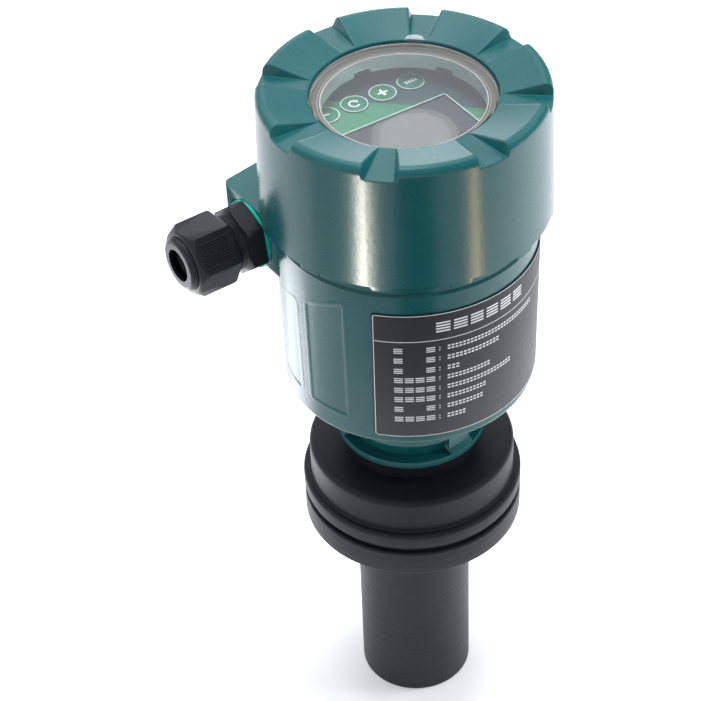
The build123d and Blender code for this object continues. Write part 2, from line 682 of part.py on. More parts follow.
def display_carrier():
    """The moulded bezel: a rim, a plate with the openings, and three bosses on the board."""
    shape = disc(DISPLAY_RADIUS, display_board_bottom, display_plate_top)
    shape -= disc(DISPLAY_RADIUS - DISPLAY_WALL, display_board_bottom - OVERCUT, display_plate_bottom)
    shape -= Rot(0, 0, DISPLAY_TURN) * lcd_opening(
        LCD_BORDER + SLIDE_GAP, display_plate_bottom - OVERCUT, display_plate_top + OVERCUT)
    for column in KEY_COLUMNS:
        shape -= on_display(column, KEY_ROW) * disc(
            key_hole_radius, display_plate_bottom - OVERCUT, display_plate_top + OVERCUT)
    for angle in PILLAR_ANGLES:
        spot = Rot(0, 0, DISPLAY_TURN + angle) * Pos(PILLAR_RADIUS, 0, 0)
        shape += spot * disc(DISPLAY_BOSS_RADIUS, display_board_top, display_plate_bottom)
        shape -= spot * disc(STUD_RADIUS + SEAT_GAP, display_board_top - OVERCUT, display_plate_bottom)
    return shape


def display_overlay():
    """The printed front film with the display's window and the key openings."""
    shape = disc(OVERLAY_RADIUS, display_plate_top, overlay_top)
    shape -= Rot(0, 0, DISPLAY_TURN) * lcd_opening(0.0, display_plate_top - OVERCUT, overlay_top + OVERCUT)
    for column in KEY_COLUMNS:
        shape -= on_display(column, KEY_ROW) * disc(
            key_hole_radius, display_plate_top - OVERCUT, overlay_top + OVERCUT)
    return shape


def lcd_module():
    return Rot(0, 0, DISPLAY_TURN) * lcd_opening(LCD_BORDER, display_board_top, display_plate_top - SEAT_GAP)


def key(column):
    """A round key cap with a captive flange below the bezel's plate."""
    flange_top = display_plate_bottom - SEAT_GAP
    cap = disc(KEY_RADIUS, flange_top, overlay_top + KEY_PROUD)
    cap = chamfer(cap.edges().filter_by(GeomType.CIRCLE).sort_by(Axis.Z)[-1:], KEY_BEVEL)
    cap += disc(KEY_RADIUS + KEY_FLANGE, flange_top - KEY_FLANGE_THICKNESS, flange_top)
    return on_display(column, KEY_ROW) * cap


def key_switches():
    """Four low switches on the display board, one below each key."""
    top = display_plate_bottom - SEAT_GAP - KEY_FLANGE_THICKNESS - KEY_TRAVEL - SEAT_GAP
    switches = []
    for column in KEY_COLUMNS:
        switch = block(SWITCH_SIZE, SWITCH_SIZE, display_board_top, top - SWITCH_BUTTON_HEIGHT)
        switch += disc(SWITCH_BUTTON_RADIUS, top - SWITCH_BUTTON_HEIGHT, top)
        switches.append(on_display(column, KEY_ROW) * switch)
    return Compound(children=switches)


def sockets():
    """The two ribbon sockets, one on each board."""
    width, depth, height = SOCKET_SIZE
    x, y = RIBBON_CENTRE
    slot = (RIBBON_WIDTH + 2 * SEAT_GAP, RIBBON_THICKNESS + 2 * SEAT_GAP)
    lower = block(width, depth, main_board_top, main_board_top + height)
    lower -= block(*slot, main_board_top + SOCKET_FLOOR, main_board_top + height + OVERCUT)
    upper = block(width, depth, display_board_bottom - height, display_board_bottom)
    upper -= block(*slot, display_board_bottom - height - OVERCUT, display_board_bottom - SOCKET_FLOOR)
    return Compound(children=[on_display(x, y) * lower, on_display(x, y) * upper])


def ribbon_cable():
    x, y = RIBBON_CENTRE
    return on_display(x, y) * block(
        RIBBON_WIDTH, RIBBON_THICKNESS, main_board_top + SOCKET_FLOOR, display_board_bottom - SOCKET_FLOOR)


def gland_washer():
    return on_gland(disc(WASHER_RADIUS, 0, WASHER_THICKNESS, THREAD_RADIUS + SEAT_GAP))


def gland_body():
    hex_top = WASHER_THICKNESS + GLAND_HEX_LENGTH
    shape = hexagon(GLAND_HEX, WASHER_THICKNESS, hex_top, GLAND_HEX_CLOCK)
    corner = GLAND_HEX / sqrt(3)
    shape &= turned([
        (0, WASHER_THICKNESS), (corner - HEX_CORNER_CUT, WASHER_THICKNESS),
        (corner, WASHER_THICKNESS + HEX_BEVEL), (corner, hex_top - HEX_BEVEL),
        (GLAND_HEX / 2 + HEX_CORNER_CUT, hex_top), (0, hex_top)])
    shape += disc(GLAND_NECK_RADIUS, hex_top, hex_top + GLAND_NECK_LENGTH)
    shape += disc(THREAD_RADIUS, -THREAD_LENGTH, WASHER_THICKNESS)
    return on_gland(shape - disc(GLAND_BORE_RADIUS, -THREAD_LENGTH - OVERCUT, hex_top + GLAND_NECK_LENGTH + OVERCUT))


def nut_start():
    return WASHER_THICKNESS + GLAND_HEX_LENGTH + GLAND_GAP


def gland_nut():
    """The hexagonal dome nut with a rounded lip, and fine ribs on every other flat."""
    start = nut_start()
    shoulder = start + NUT_LENGTH
    end = shoulder + NUT_LIP_LENGTH
    corner = GLAND_HEX / sqrt(3)
    bar = hexagon(GLAND_HEX, start, shoulder, NUT_CLOCK)
    bar &= turned([
        (0, start), (corner - HEX_CORNER_CUT, start), (corner, start + HEX_BEVEL), (corner, shoulder - NUT_DOME),
        (GLAND_HEX / 2 - HEX_CORNER_CUT, shoulder), (0, shoulder)])
    lip = turned([
        (0, shoulder - OVERCUT), (NUT_LIP_RADIUS, shoulder - OVERCUT), (NUT_LIP_RADIUS, end), (0, end)],
        [(2, NUT_LIP_CORNER)])
    shape = bar + lip
    for flat in range(3):
        for index in range(NUT_RIB_COUNT):
            across = (index - (NUT_RIB_COUNT - 1) / 2) * NUT_RIB_PITCH
            groove = Pos(GLAND_HEX / 2, across, start + NUT_LENGTH / 2) * Box(
                2 * NUT_RIB_DEPTH, NUT_RIB_WIDTH, NUT_LENGTH - 2 * NUT_RIB_MARGIN)
            shape -= Rot(0, 0, NUT_CLOCK + flat * 120.0) * groove
    thread = GLAND_NECK_RADIUS + THREAD_GAP
    bore = turned([
        (0, start - OVERCUT), (thread, start - OVERCUT), (thread, shoulder - NUT_DOME),
        (NUT_MOUTH_RADIUS + NUT_MOUTH_FLARE, shoulder), (NUT_MOUTH_RADIUS, shoulder + HEX_BEVEL),
        (NUT_MOUTH_RADIUS, end + OVERCUT), (0, end + OVERCUT)])
    return on_gland(shape - bore)


def claw_end():
    return nut_start() + NUT_LENGTH - CLAW_SETBACK


def gland_claw():
    """The slotted cage that the nut closes round the seal."""
    top = claw_end()
    outer = GLAND_BORE_RADIUS - SLIDE_GAP
    cage = disc(outer, top - CLAW_LENGTH, top, outer - CLAW_WALL)
    for turn in spread(CLAW_SLOT_COUNT):
        cage -= turn * block(outer * 2, CLAW_SLOT_WIDTH, top - CLAW_LENGTH + CLAW_ROOT, top + OVERCUT, x=outer)
    return on_gland(cage)


def gland_seal():
    """The rubber bush that grips the cable."""
    top = claw_end()
    outer = GLAND_BORE_RADIUS - SLIDE_GAP - CLAW_WALL - FIT_GAP
    return on_gland(disc(outer, top - CLAW_LENGTH, top, CABLE_BORE_RADIUS))


pieces = {
    "probe_housing": probe_housing(),
    "matching_layer": matching_layer(),
    "piezo_disc": piezo_disc(),
    "damping_block": damping_block(),
    "transducer_lead": transducer_lead(),
    "flange_gasket": flange_gasket(),
    "adapter_ring": adapter_ring(),
    "neck_seal": neck_seal(),
    "housing": housing(),
    "nameplate": nameplate(),
    "cover": cover(),
    "cover_seal": cover_seal(),
    "window_glass": window_glass(),
    "window_gasket": window_gasket(),
    "retaining_ring": retaining_ring(),
    "protective_film": protective_film(),
    "main_board": main_board(),
    "board_parts": board_parts(),
    "terminal_block": terminal_block(),
    "terminal_screws": terminal_screws(),
    "pillars": pillars(),
    "display_board": display_board(),
    "display_carrier": display_carrier(),
    "display_overlay": display_overlay(),
    "lcd_module": lcd_module(),
    "key_switches": key_switches(),
    "sockets": sockets(),
    "ribbon_cable": ribbon_cable(),
    "gland_washer": gland_washer(),
    "gland_body": gland_body(),
    "gland_claw": gland_claw(),
    "gland_seal": gland_seal(),
    "gland_nut": gland_nut(),
}
for number, column in enumerate(KEY_COLUMNS, 1):
    pieces[f"key_{number}"] = key(column)

os.makedirs("parts", exist_ok=True)
for name, shape in pieces.items():
    export_step(shape, f"parts/{name}.step")
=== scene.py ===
import json
import math
import bpy
import bmesh
from mathutils import Matrix, Vector


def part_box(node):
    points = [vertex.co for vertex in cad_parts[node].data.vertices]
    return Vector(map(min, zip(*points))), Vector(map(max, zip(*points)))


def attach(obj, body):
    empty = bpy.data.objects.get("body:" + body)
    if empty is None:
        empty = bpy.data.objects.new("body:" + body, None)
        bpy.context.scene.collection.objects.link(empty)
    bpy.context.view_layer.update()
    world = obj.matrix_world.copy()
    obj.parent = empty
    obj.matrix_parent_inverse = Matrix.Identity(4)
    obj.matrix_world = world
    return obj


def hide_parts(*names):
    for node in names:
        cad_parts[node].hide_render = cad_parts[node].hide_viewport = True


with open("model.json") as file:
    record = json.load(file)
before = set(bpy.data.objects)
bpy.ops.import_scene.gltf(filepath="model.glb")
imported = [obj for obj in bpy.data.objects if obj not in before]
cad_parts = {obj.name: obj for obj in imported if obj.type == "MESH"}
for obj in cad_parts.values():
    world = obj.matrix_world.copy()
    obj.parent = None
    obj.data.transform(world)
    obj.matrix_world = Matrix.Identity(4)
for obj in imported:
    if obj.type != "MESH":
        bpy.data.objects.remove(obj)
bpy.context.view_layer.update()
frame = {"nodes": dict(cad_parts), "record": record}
nodes = frame["nodes"]
mm = 0.001
print("frame loaded")

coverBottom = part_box("cover")[0][2] / mm

# the body's drafted wall, on which the panels and the plate lie
wall = {"bottom": 171.7, "height": 73.5, "lowRadius": 49.05, "topRadius": 49.8}

# the gland's axis: azimuths count from the front, positive to the right
gland = {"azimuth": -54.6, "offset": 37.0, "face": 46.2, "height": 234.55}
glandFrame = (
    Matrix.Rotation(math.radians(gland["azimuth"] - 90.0), 4, "Z")
    @ Matrix.Translation((gland["face"] * mm, -gland["offset"] * mm, gland["height"] * mm))
    @ Matrix.Rotation(math.radians(90.0), 4, "Y")
    @ Matrix.Rotation(math.radians(90.0), 4, "Z")
)

# the display's plate is turned against the housing
display = {"turn": 33.5, "top": 281.0, "keyTop": 281.5, "keyRow": 22.3, "keyColumns": [-19.6, -7.1, 5.4, 17.9]}
displayFrame = Matrix.Rotation(math.radians(display["turn"]), 4, "Z")


# small helpers for node trees

def fill(tree, node, inputs):
    # a socket is linked, and anything else becomes the input's own value
    for key, value in inputs.items():
        if isinstance(value, bpy.types.NodeSocket):
            tree.links.new(value, node.inputs[key])
        else:
            node.inputs[key].default_value = value
    return node


def put(tree, kind, inputs=None, **settings):
    node = tree.nodes.new(kind)
    for key, value in settings.items():
        setattr(node, key, value)
    return fill(tree, node, inputs or {})


def maths(tree, operation, *values):
    return put(tree, "ShaderNodeMath", dict(enumerate(values)), operation=operation).outputs["Value"]


def objectSpot(tree):
    return put(tree, "ShaderNodeTexCoord").outputs["Object"]


def apart(tree, vector):
    return put(tree, "ShaderNodeSeparateXYZ", {"Vector": vector}).outputs


def distance(tree, x, y):
    flat = put(tree, "ShaderNodeCombineXYZ", {"X": x, "Y": y}).outputs["Vector"]
    return put(tree, "ShaderNodeVectorMath", {0: flat}, operation="LENGTH").outputs["Value"]


def distanceFrom(tree, spot):
    return put(tree, "ShaderNodeVectorMath", {0: objectSpot(tree), 1: spot}, operation="DISTANCE").outputs["Value"]


def grain(tree, scale, detail=2.0, stretch=(1.0, 1.0, 1.0)):
    mapped = put(tree, "ShaderNodeMapping", {"Vector": objectSpot(tree), "Scale": stretch}).outputs["Vector"]
    return put(tree, "ShaderNodeTexNoise", {"Vector": mapped, "Scale": scale, "Detail": detail}).outputs["Fac"]


def between(tree, amount, low, high, fromLow=0.0, fromHigh=1.0):
    return put(tree, "ShaderNodeMapRange", {
        "Value": amount, "From Min": fromLow, "From Max": fromHigh, "To Min": low, "To Max": high}).outputs["Result"]


def twoTone(tree, amount, first, second):
    mix = put(tree, "ShaderNodeMix", {0: amount, 6: (*first, 1.0), 7: (*second, 1.0)}, data_type="RGBA")
    return mix.outputs[2]


def clouded(tree, scale, detail, first, second):
    # soft patches of two close tones
    return twoTone(tree, between(tree, grain(tree, scale, detail), 0.0, 1.0, 0.35, 0.65), first, second)


def uneven(tree, amount, low, high):
    return between(tree, amount, low, high, 0.3, 0.7)


def relief(tree, height, depth, under=None):
    inputs = {"Height": height, "Distance": depth * mm, "Strength": 1.0}
    if under:
        inputs["Normal"] = under
    return put(tree, "ShaderNodeBump", inputs).outputs["Normal"]


def ramped(tree, amount, stops):
    # stops: (position, colour)
    ramp = put(tree, "ShaderNodeValToRGB", {"Fac": amount})
    elements = ramp.color_ramp.elements
    elements.remove(elements[1])
    for index, (position, colour) in enumerate(stops):
        stop = elements.new(position) if index else elements[0]
        stop.position = position
        stop.color = (*colour, 1.0)
    return ramp.outputs["Color"]


def newFinish(name):
    material = bpy.data.materials.new(name)
    material.use_nodes = True
    tree = material.node_tree
    return material, tree, tree.nodes["Principled BSDF"]


# finishes

def plainFinish(name, tone, tone2, fineness, depth, rough, cloud=60.0, stretch=(1.0, 1.0, 1.0), metal=0.0,
                specular=0.5):
    # two close tones, uneven gloss and a fine relief
    material, tree, shader = newFinish(name)
    fine = grain(tree, fineness, 2.0, stretch)
    fill(tree, shader, {
        "Base Color": clouded(tree, cloud, 3.0, tone, tone2), "Roughness": uneven(tree, fine, *rough),
        "Normal": relief(tree, fine, depth), "Metallic": metal, "IOR": 1.5, "Specular IOR Level": specular})
    return material


def seatWithPaintedEdgeLight():
    # the seat of the window: radius in mm and tone, from the opening outwards
    # the pale bands are painted highlights of the glass's edges and the darkest ones painted shadow in the gaps, over
    # the seat's own brown grey
    look = {"toneAndPaintedLightBands": [(30.0, 0.42), (30.35, 0.42), (30.5, 0.05), (30.9, 0.06), (31.05, 0.30), (31.25, 0.30),
                      (31.4, 0.085), (32.4, 0.12), (33.6, 0.075), (34.0, 0.26), (34.4, 0.26)],
            "inner": 29.0, "outer": 40.0, "tint": (1.0, 0.97, 0.90), "fine": 300.0, "rough": (0.35, 0.55)}
    material, tree, shader = newFinish("windowSeat")
    split = apart(tree, objectSpot(tree))
    reach = between(tree, distance(tree, split["X"], split["Y"]), 0.0, 1.0, look["inner"] * mm, look["outer"] * mm)
    stops = [((radius - look["inner"]) / (look["outer"] - look["inner"]), [tone * part for part in look["tint"]])
             for radius, tone in look["toneAndPaintedLightBands"]]
    fill(tree, shader, {"Base Color": ramped(tree, reach, stops),
                        "Roughness": uneven(tree, grain(tree, look["fine"], 3.0), *look["rough"])})
    return material


def tealPaint():
    look = {"tones": ((0.0025, 0.070, 0.074), (0.0038, 0.078, 0.082)), "cloud": 45.0, "peel": 620.0,
            "peelDepth": 0.022, "fine": 1984.0, "fineDepth": 0.0044, "rough": (0.20, 0.28)}
    material, tree, shader = newFinish("tealPaint")
    fine = grain(tree, look["fine"])
    under = relief(tree, fine, look["fineDepth"])
    fill(tree, shader, {
        "Base Color": clouded(tree, look["cloud"], 3.0, *look["tones"]), "IOR": 1.5,
        "Roughness": uneven(tree, fine, *look["rough"]),
        "Normal": relief(tree, grain(tree, look["peel"], 1.5), look["peelDepth"], under)})
    return material


def turnedBlack():
    # black plastic with the fine rings that a lathe leaves
    look = {"tones": ((0.0075, 0.008, 0.0115), (0.0095, 0.010, 0.0145)), "cloud": 80.0, "rough": (0.42, 0.54),
            "ring": 900.0, "ringDepth": 0.001, "fine": 1500.0, "fineDepth": 0.002, "specular": 0.3}
    material, tree, shader = newFinish("turnedBlack")
    split = apart(tree, objectSpot(tree))
    travel = maths(tree, "ADD", distance(tree, split["X"], split["Y"]), split["Z"])
    rings = put(tree, "ShaderNodeTexNoise", {"W": travel, "Scale": look["ring"], "Detail": 3.0},
                noise_dimensions="1D").outputs["Fac"]
    under = relief(tree, grain(tree, look["fine"]), look["fineDepth"])
    fill(tree, shader, {
        "Base Color": clouded(tree, look["cloud"], 4.0, *look["tones"]), "Specular IOR Level": look["specular"],
        "Roughness": uneven(tree, rings, *look["rough"]), "Normal": relief(tree, rings, look["ringDepth"], under)})
    return material


def clearGlass():
    look = {"tones": ((0.91, 0.95, 0.93), (0.95, 0.98, 0.965)), "cloud": 40.0, "specular": 0.3}
    material, tree, shader = newFinish("clearGlass")
    fill(tree, shader, {
        "Base Color": twoTone(tree, grain(tree, look["cloud"]), *look["tones"]), "Transmission Weight": 1.0,
        "IOR": 1.5, "Specular IOR Level": look["specular"], "Roughness": 0.0})
    # shadow and diffuse rays pass straight, so that what lies behind the pane is lit
    rays = put(tree, "ShaderNodeLightPath").outputs
    passing = maths(tree, "MAXIMUM", rays["Is Shadow Ray"], rays["Is Diffuse Ray"])
    clear = put(tree, "ShaderNodeBsdfTransparent").outputs["BSDF"]
    mix = put(tree, "ShaderNodeMixShader", {0: passing, 1: shader.outputs["BSDF"], 2: clear})
    fill(tree, tree.nodes["Material Output"], {"Surface": mix.outputs["Shader"]})
    return material


def clearFilm():
    # nearly invisible over the glass, and paler where the tab sticks out past the radius (mm)
    look = {"centre": (0.0, 0.0, 0.298), "edge": (33.8, 34.2), "alpha": (0.012, 0.17), "rough": (0.12, 0.22),
            "waves": 26.0, "depth": 0.05, "tone": (0.82, 0.85, 0.86)}
    material, tree, shader = newFinish("clearFilm")
    waves = grain(tree, look["waves"], 1.0)
    fill(tree, shader, {
        "Base Color": (*look["tone"], 1.0), "Roughness": between(tree, waves, *look["rough"]),
        "Alpha": between(tree, distanceFrom(tree, look["centre"]), *look["alpha"],
                         *(radius * mm for radius in look["edge"])),
        "Normal": relief(tree, waves, look["depth"])})
    return material


def panelPrint():
    # the display's printed front: a dark grey field at the back and a green one in front
    look = {"edgeY": 14.1, "slope": -0.13, "blur": 0.12, "grey": (0.020, 0.046, 0.060), "green": (0.025, 0.17, 0.095),
            "fine": 700.0, "rough": (0.3, 0.4), "specular": 0.2}
    material, tree, shader = newFinish("panelPrint")
    split = apart(tree, objectSpot(tree))
    across = maths(tree, "ADD", split["Y"], maths(tree, "MULTIPLY", split["X"], -look["slope"]))
    share = between(tree, across, 0.0, 1.0, (look["edgeY"] - look["blur"]) * mm, (look["edgeY"] + look["blur"]) * mm)
    fill(tree, shader, {
        "Base Color": twoTone(tree, share, look["green"], look["grey"]), "Specular IOR Level": look["specular"],
        "Roughness": uneven(tree, grain(tree, look["fine"]), *look["rough"])})
    return material


def clearDisplay():
    # a pale field in front with a round far edge, a grey band round it and violet grey behind, all with fine cells
    # the pale field in front is a painted reflection of the bright floor; the violet grey behind is the display's own
    # tone
    look = {"middle": (3.7, -3.5), "reflectionEdge": 12.8, "band": 15.6, "blur": 0.5, "front": (0.165, 0.170, 0.160),
            "ring": (0.11, 0.112, 0.12), "back": (0.045, 0.048, 0.062), "cells": 260.0, "cloud": 30.0,
            "contrast": (0.94, 1.06), "rough": (0.06, 0.12), "specular": 0.2}
    material, tree, shader = newFinish("clearDisplay")
    turned = put(tree, "ShaderNodeMapping", {
        "Vector": objectSpot(tree), "Rotation": (0.0, 0.0, -math.radians(display["turn"]))}).outputs["Vector"]
    cells = put(tree, "ShaderNodeTexWave", {"Vector": turned, "Scale": look["cells"], "Distortion": 0.0},
                bands_direction="X").outputs["Fac"]
    cloud = grain(tree, look["cloud"])
    split = apart(tree, objectSpot(tree))
    x = maths(tree, "SUBTRACT", split["X"], look["middle"][0] * mm)
    y = maths(tree, "MAXIMUM", maths(tree, "SUBTRACT", split["Y"], look["middle"][1] * mm), 0.0)
    away = distance(tree, x, y)
    inner, outer = (between(tree, away, 0.0, 1.0, (look[edge] - look["blur"]) * mm, (look[edge] + look["blur"]) * mm)
                    for edge in ("reflectionEdge", "band"))
    # painted reflection: the pale front field, fading through the grey band
    field = twoTone(tree, inner, look["front"], look["ring"])
    mixed = put(tree, "ShaderNodeMix", {"Factor": outer, 6: field, 7: (*look["back"], 1.0)}, data_type="RGBA")
    fine = between(tree, maths(tree, "MULTIPLY", cells, cloud), *look["contrast"])
    shaded = put(tree, "ShaderNodeVectorMath", {0: mixed.outputs[2], "Scale": fine}, operation="SCALE")
    fill(tree, shader, {"Base Color": shaded.outputs["Vector"], "Specular IOR Level": look["specular"],
                        "Roughness": between(tree, cloud, *look["rough"])})
    return material


# plain ones: name, two tones, fineness, relief in mm, roughness
finishes = {
    "painted_casting": tealPaint(),
    "probe_plastic": turnedBlack(),
    "window_glass": clearGlass(),
    "clear_film": clearFilm(),
    "display_glass": clearDisplay(),
    "pale_gasket": seatWithPaintedEdgeLight(),
    "display_print": panelPrint(),
    "gland_nylon": plainFinish("mouldedNylon", (0.0095, 0.0095, 0.013), (0.013, 0.013, 0.0175), 1300.0, 0.0015,
                               (0.26, 0.38), cloud=150.0, specular=0.32),
    "washer_rubber": plainFinish("greenWasher", (0.0, 0.36, 0.24), (0.0, 0.42, 0.29), 900.0, 0.008, (0.45, 0.6)),
    "seal_rubber": plainFinish("blackRubber", (0.012,) * 3, (0.02,) * 3, 1100.0, 0.01, (0.55, 0.75)),
    "ring_metal": plainFinish("satinRing", (0.72, 0.73, 0.71), (0.80, 0.80, 0.79), 500.0, 0.004, (0.28, 0.4),
                              metal=1.0, stretch=(1.0, 1.0, 8.0)),
    "plate_black": plainFinish("printedPlate", (0.0085, 0.0085, 0.012), (0.011, 0.011, 0.0155), 900.0, 0.0015,
                               (0.42, 0.5), cloud=25.0),
    "key_print": plainFinish("keyPrint", (0.004, 0.125, 0.070), (0.006, 0.14, 0.078), 700.0, 0.004, (0.26, 0.36)),
    "bezel_plastic": plainFinish("greyBezel", (0.05, 0.055, 0.06), (0.065, 0.07, 0.075), 1100.0, 0.008, (0.4, 0.55)),
    "board_laminate": plainFinish("boardLaminate", (0.012, 0.11, 0.035), (0.02, 0.15, 0.05), 500.0, 0.01, (0.3, 0.45),
                                  cloud=200.0),
    "component_plastic": plainFinish("componentBlack", (0.02, 0.02, 0.022), (0.035, 0.035, 0.038), 900.0, 0.008,
                                     (0.4, 0.6)),
    "terminal_plastic": plainFinish("terminalGreen", (0.02, 0.20, 0.07), (0.03, 0.25, 0.09), 900.0, 0.006,
                                    (0.35, 0.5)),
    "plated_metal": plainFinish("nickelPlate", (0.62, 0.61, 0.58), (0.72, 0.71, 0.68), 900.0, 0.004, (0.15, 0.3),
                                metal=1.0),
    "brass_pillar": plainFinish("turnedBrass", (0.62, 0.42, 0.16), (0.72, 0.50, 0.20), 900.0, 0.004, (0.2, 0.35),
                                metal=1.0),
    "ribbon_plastic": plainFinish("greyRibbon", (0.30, 0.30, 0.32), (0.38, 0.38, 0.40), 800.0, 0.01, (0.4, 0.55),
                                  stretch=(3.0, 3.0, 0.2)),
    "lead_jacket": plainFinish("leadJacket", (0.015,) * 3, (0.025,) * 3, 900.0, 0.01, (0.5, 0.65)),
    "transducer_ceramic": plainFinish("firedCeramic", (0.68, 0.62, 0.50), (0.76, 0.70, 0.58), 1200.0, 0.008,
                                      (0.45, 0.6)),
    "matching_resin": plainFinish("filledResin", (0.60, 0.56, 0.46), (0.70, 0.66, 0.56), 900.0, 0.01, (0.4, 0.6)),
    "potting_resin": plainFinish("softPotting", (0.02, 0.02, 0.022), (0.03, 0.03, 0.033), 400.0, 0.03, (0.35, 0.6)),
}
paleInk = plainFinish("paleInk", (0.66, 0.67, 0.68), (0.72, 0.73, 0.74), 900.0, 0.003, (0.35, 0.5))

for subpart in frame["record"]["subparts"]:
    node = nodes[subpart["node"]]
    node.data.materials.clear()
    node.data.materials.append(finishes[subpart["material_slot"]])
print("finishes made")


# helpers for meshes

def addObject(name, data):
    thing = bpy.data.objects.new(name, data)
    bpy.context.scene.collection.objects.link(thing)
    return thing


def showMesh(name, mesh, body, slotName, *stoodFor, finish=None):
    piece = addObject(name, mesh)
    mesh.materials.clear()
    mesh.materials.append(finish or finishes[slotName])
    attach(piece, body)
    if stoodFor:
        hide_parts(*stoodFor)
    return piece


def meshOf(name, build, crease=None):
    mesh = bpy.data.meshes.new(name)
    build.to_mesh(mesh)
    build.free()
    if crease:
        softShade(mesh, crease)
    return mesh


def roundAxis(radius, angle, height):
    # millimetres, and an angle counted from the front, to a point in metres
    return radius * math.sin(angle) * mm, -radius * math.cos(angle) * mm, height * mm


def softShade(mesh, angle=32.0):
    mesh.shade_smooth()
    mesh.set_sharp_from_angle(angle=math.radians(angle))


def closedRings(name, rings, crease=32.0):
    # rings of points that run once round, joined to each other and closed into a tube
    count = len(rings[0])
    points = [point for ring in rings for point in ring]
    faces = []
    for row in range(len(rings)):
        nextRow = (row + 1) % len(rings)
        for column in range(count):
            nextColumn = (column + 1) % count
            faces.append((row * count + column, row * count + nextColumn,
                          nextRow * count + nextColumn, nextRow * count + column))
    rough = bpy.data.meshes.new(name + "Rough")
    rough.from_pydata(points, [], faces)
    build = bmesh.new()
    build.from_mesh(rough)
    bpy.data.meshes.remove(rough)
    bmesh.ops.remove_doubles(build, verts=build.verts, dist=0.000001)
    bmesh.ops.recalc_face_normals(build, faces=build.faces)
    return meshOf(name, build, crease)


def wallRadius(height):
    share = (height - wall["bottom"]) / wall["height"]
    return wall["lowRadius"] + (wall["topRadius"] - wall["lowRadius"]) * share


# the two panels on the wall: azimuths of their sides and heights above the wall's lower edge
pads = {
    "padFront": {"left": -49.9, "right": -28.6, "bottom": 10.3, "leftTop": 57.7, "rightTop": 65.5},
    "padSide": {"left": -75.8, "right": -57.2, "bottom": 10.3, "leftTop": 50.0, "rightTop": 54.5},
}
padSink = {"depth": 0.7, "proud": 0.3, "sideMargin": 0.5, "heightMargin": 0.8}


def sinkPads(mesh):
    # the raised faces on the wall go in, so that the panels with rolled edges can lie in them
    for vert in mesh.vertices:
        x, y, z = (part / mm for part in vert.co)
        azimuth = math.degrees(math.atan2(x, -y))
        radius = math.hypot(x, y)
        height = z - wall["bottom"]
        for pad in pads.values():
            if (pad["left"] - padSink["sideMargin"] < azimuth < pad["right"] + padSink["sideMargin"]
                    and pad["bottom"] - padSink["heightMargin"] < height < pad["rightTop"] + padSink["heightMargin"]
                    and radius > wallRadius(z) + padSink["proud"]):
                vert.co.x *= (wallRadius(z) - padSink["depth"]) / radius
                vert.co.y *= (wallRadius(z) - padSink["depth"]) / radius
                break


def smoothCopy(node, body, frameOf=None, crease=32.0, turned=True):
    # a merged copy of a CAD node; where it is turned, its round faces get their true normals about the axis
    build = bmesh.new()
    build.from_mesh(nodes[node].data)
    bmesh.ops.remove_doubles(build, verts=build.verts, dist=0.000002)
    bmesh.ops.dissolve_degenerate(build, edges=build.edges, dist=0.000001)
    mesh = meshOf(node + "Smooth", build)
    if node == "housing":
        sinkPads(mesh)
    softShade(mesh, crease)
    mesh.update()
    if turned:
        trueNormals(mesh, frameOf or Matrix.Identity(4))
    slotName = next(s["material_slot"] for s in frame["record"]["subparts"] if s["node"] == node)
    showMesh(node + "Skin", mesh, body, slotName, node)


def trueNormals(mesh, frameOf):
    look = {"axisRadius": 0.0005, "sideways": 0.09}
    back = frameOf.inverted()
    turn, backTurn = frameOf.to_3x3(), back.to_3x3()
    corners = [tuple(corner.vector) for corner in mesh.corner_normals]
    for face in mesh.polygons:
        middle = back @ face.center
        normal = backTurn @ face.normal
        out = Vector((middle.x, middle.y, 0.0))
        if out.length < look["axisRadius"]:
            continue
        out.normalize()
        if abs(normal.dot(Vector((-out.y, out.x, 0.0)))) > look["sideways"]:
            continue
        for loop in face.loop_indices:
            spot = back @ mesh.vertices[mesh.loops[loop].vertex_index].co
            side = Vector((spot.x, spot.y, 0.0))
            if side.length < look["axisRadius"]:
                continue
            true = side.normalized() * normal.dot(out) + Vector((0.0, 0.0, normal.z))
            corners[loop] = tuple((turn @ true).normalized())
    mesh.normals_split_custom_set(corners)


# the cast cover: radial notches, rounded outer edge and grip tabs

cover = {
    "windowEdge": 298.85, "windowRadius": 34.3, "windowLip": 3.3, "windowRound": 0.5, "dish": 4.5, "edgeReach": 3.66,
    "topRadius": 53.3, "bottomRadius": 55.0,
    "notches": 8, "notchAzimuth": -9.8, "notchStart": 34.8, "notchEnd": 57.0, "notchWidths": (6.2, 11.2),
    "notchDrop": 0.7, "wallDraft": 18.0, "wallTopRound": 0.6, "wallFootRound": 0.35,
    "tabs": 12, "tabWidth": 8.0, "tabHeight": 1.7, "tabInner": 50.8,
    "threadRadius": 46.75, "threadHeight": 14.5, "cavityRadius": 47.4, "basketBore": 40.45,
    "basketWall": 4.0, "basketDepth": 12.9, "basketGroove": 6.5, "cornerRound": 0.35, "tabRound": 0.3, "tabEdge": 0.5,
    "notchEase": 0.6, "notchRuns": 0.6, "rowGap": 0.4,
}


def bentCorner(before, corner, after, reach, steps):
    # points of the arc that rounds a corner, from that reach before it to that reach after it
    toBefore = (before - corner).normalized()
    toAfter = (after - corner).normalized()
    half = toBefore.angle(toAfter) / 2
    centre = corner + (toBefore + toAfter).normalized() * (reach / math.cos(half))
    first = corner + toBefore * reach - centre
    last = corner + toAfter * reach - centre
    turn = first.angle(last)
    found = []
    for step in range(steps + 1):
        t = step / steps
        found.append(centre + (first * math.sin((1 - t) * turn) + last * math.sin(t * turn)) / math.sin(turn))
    return found


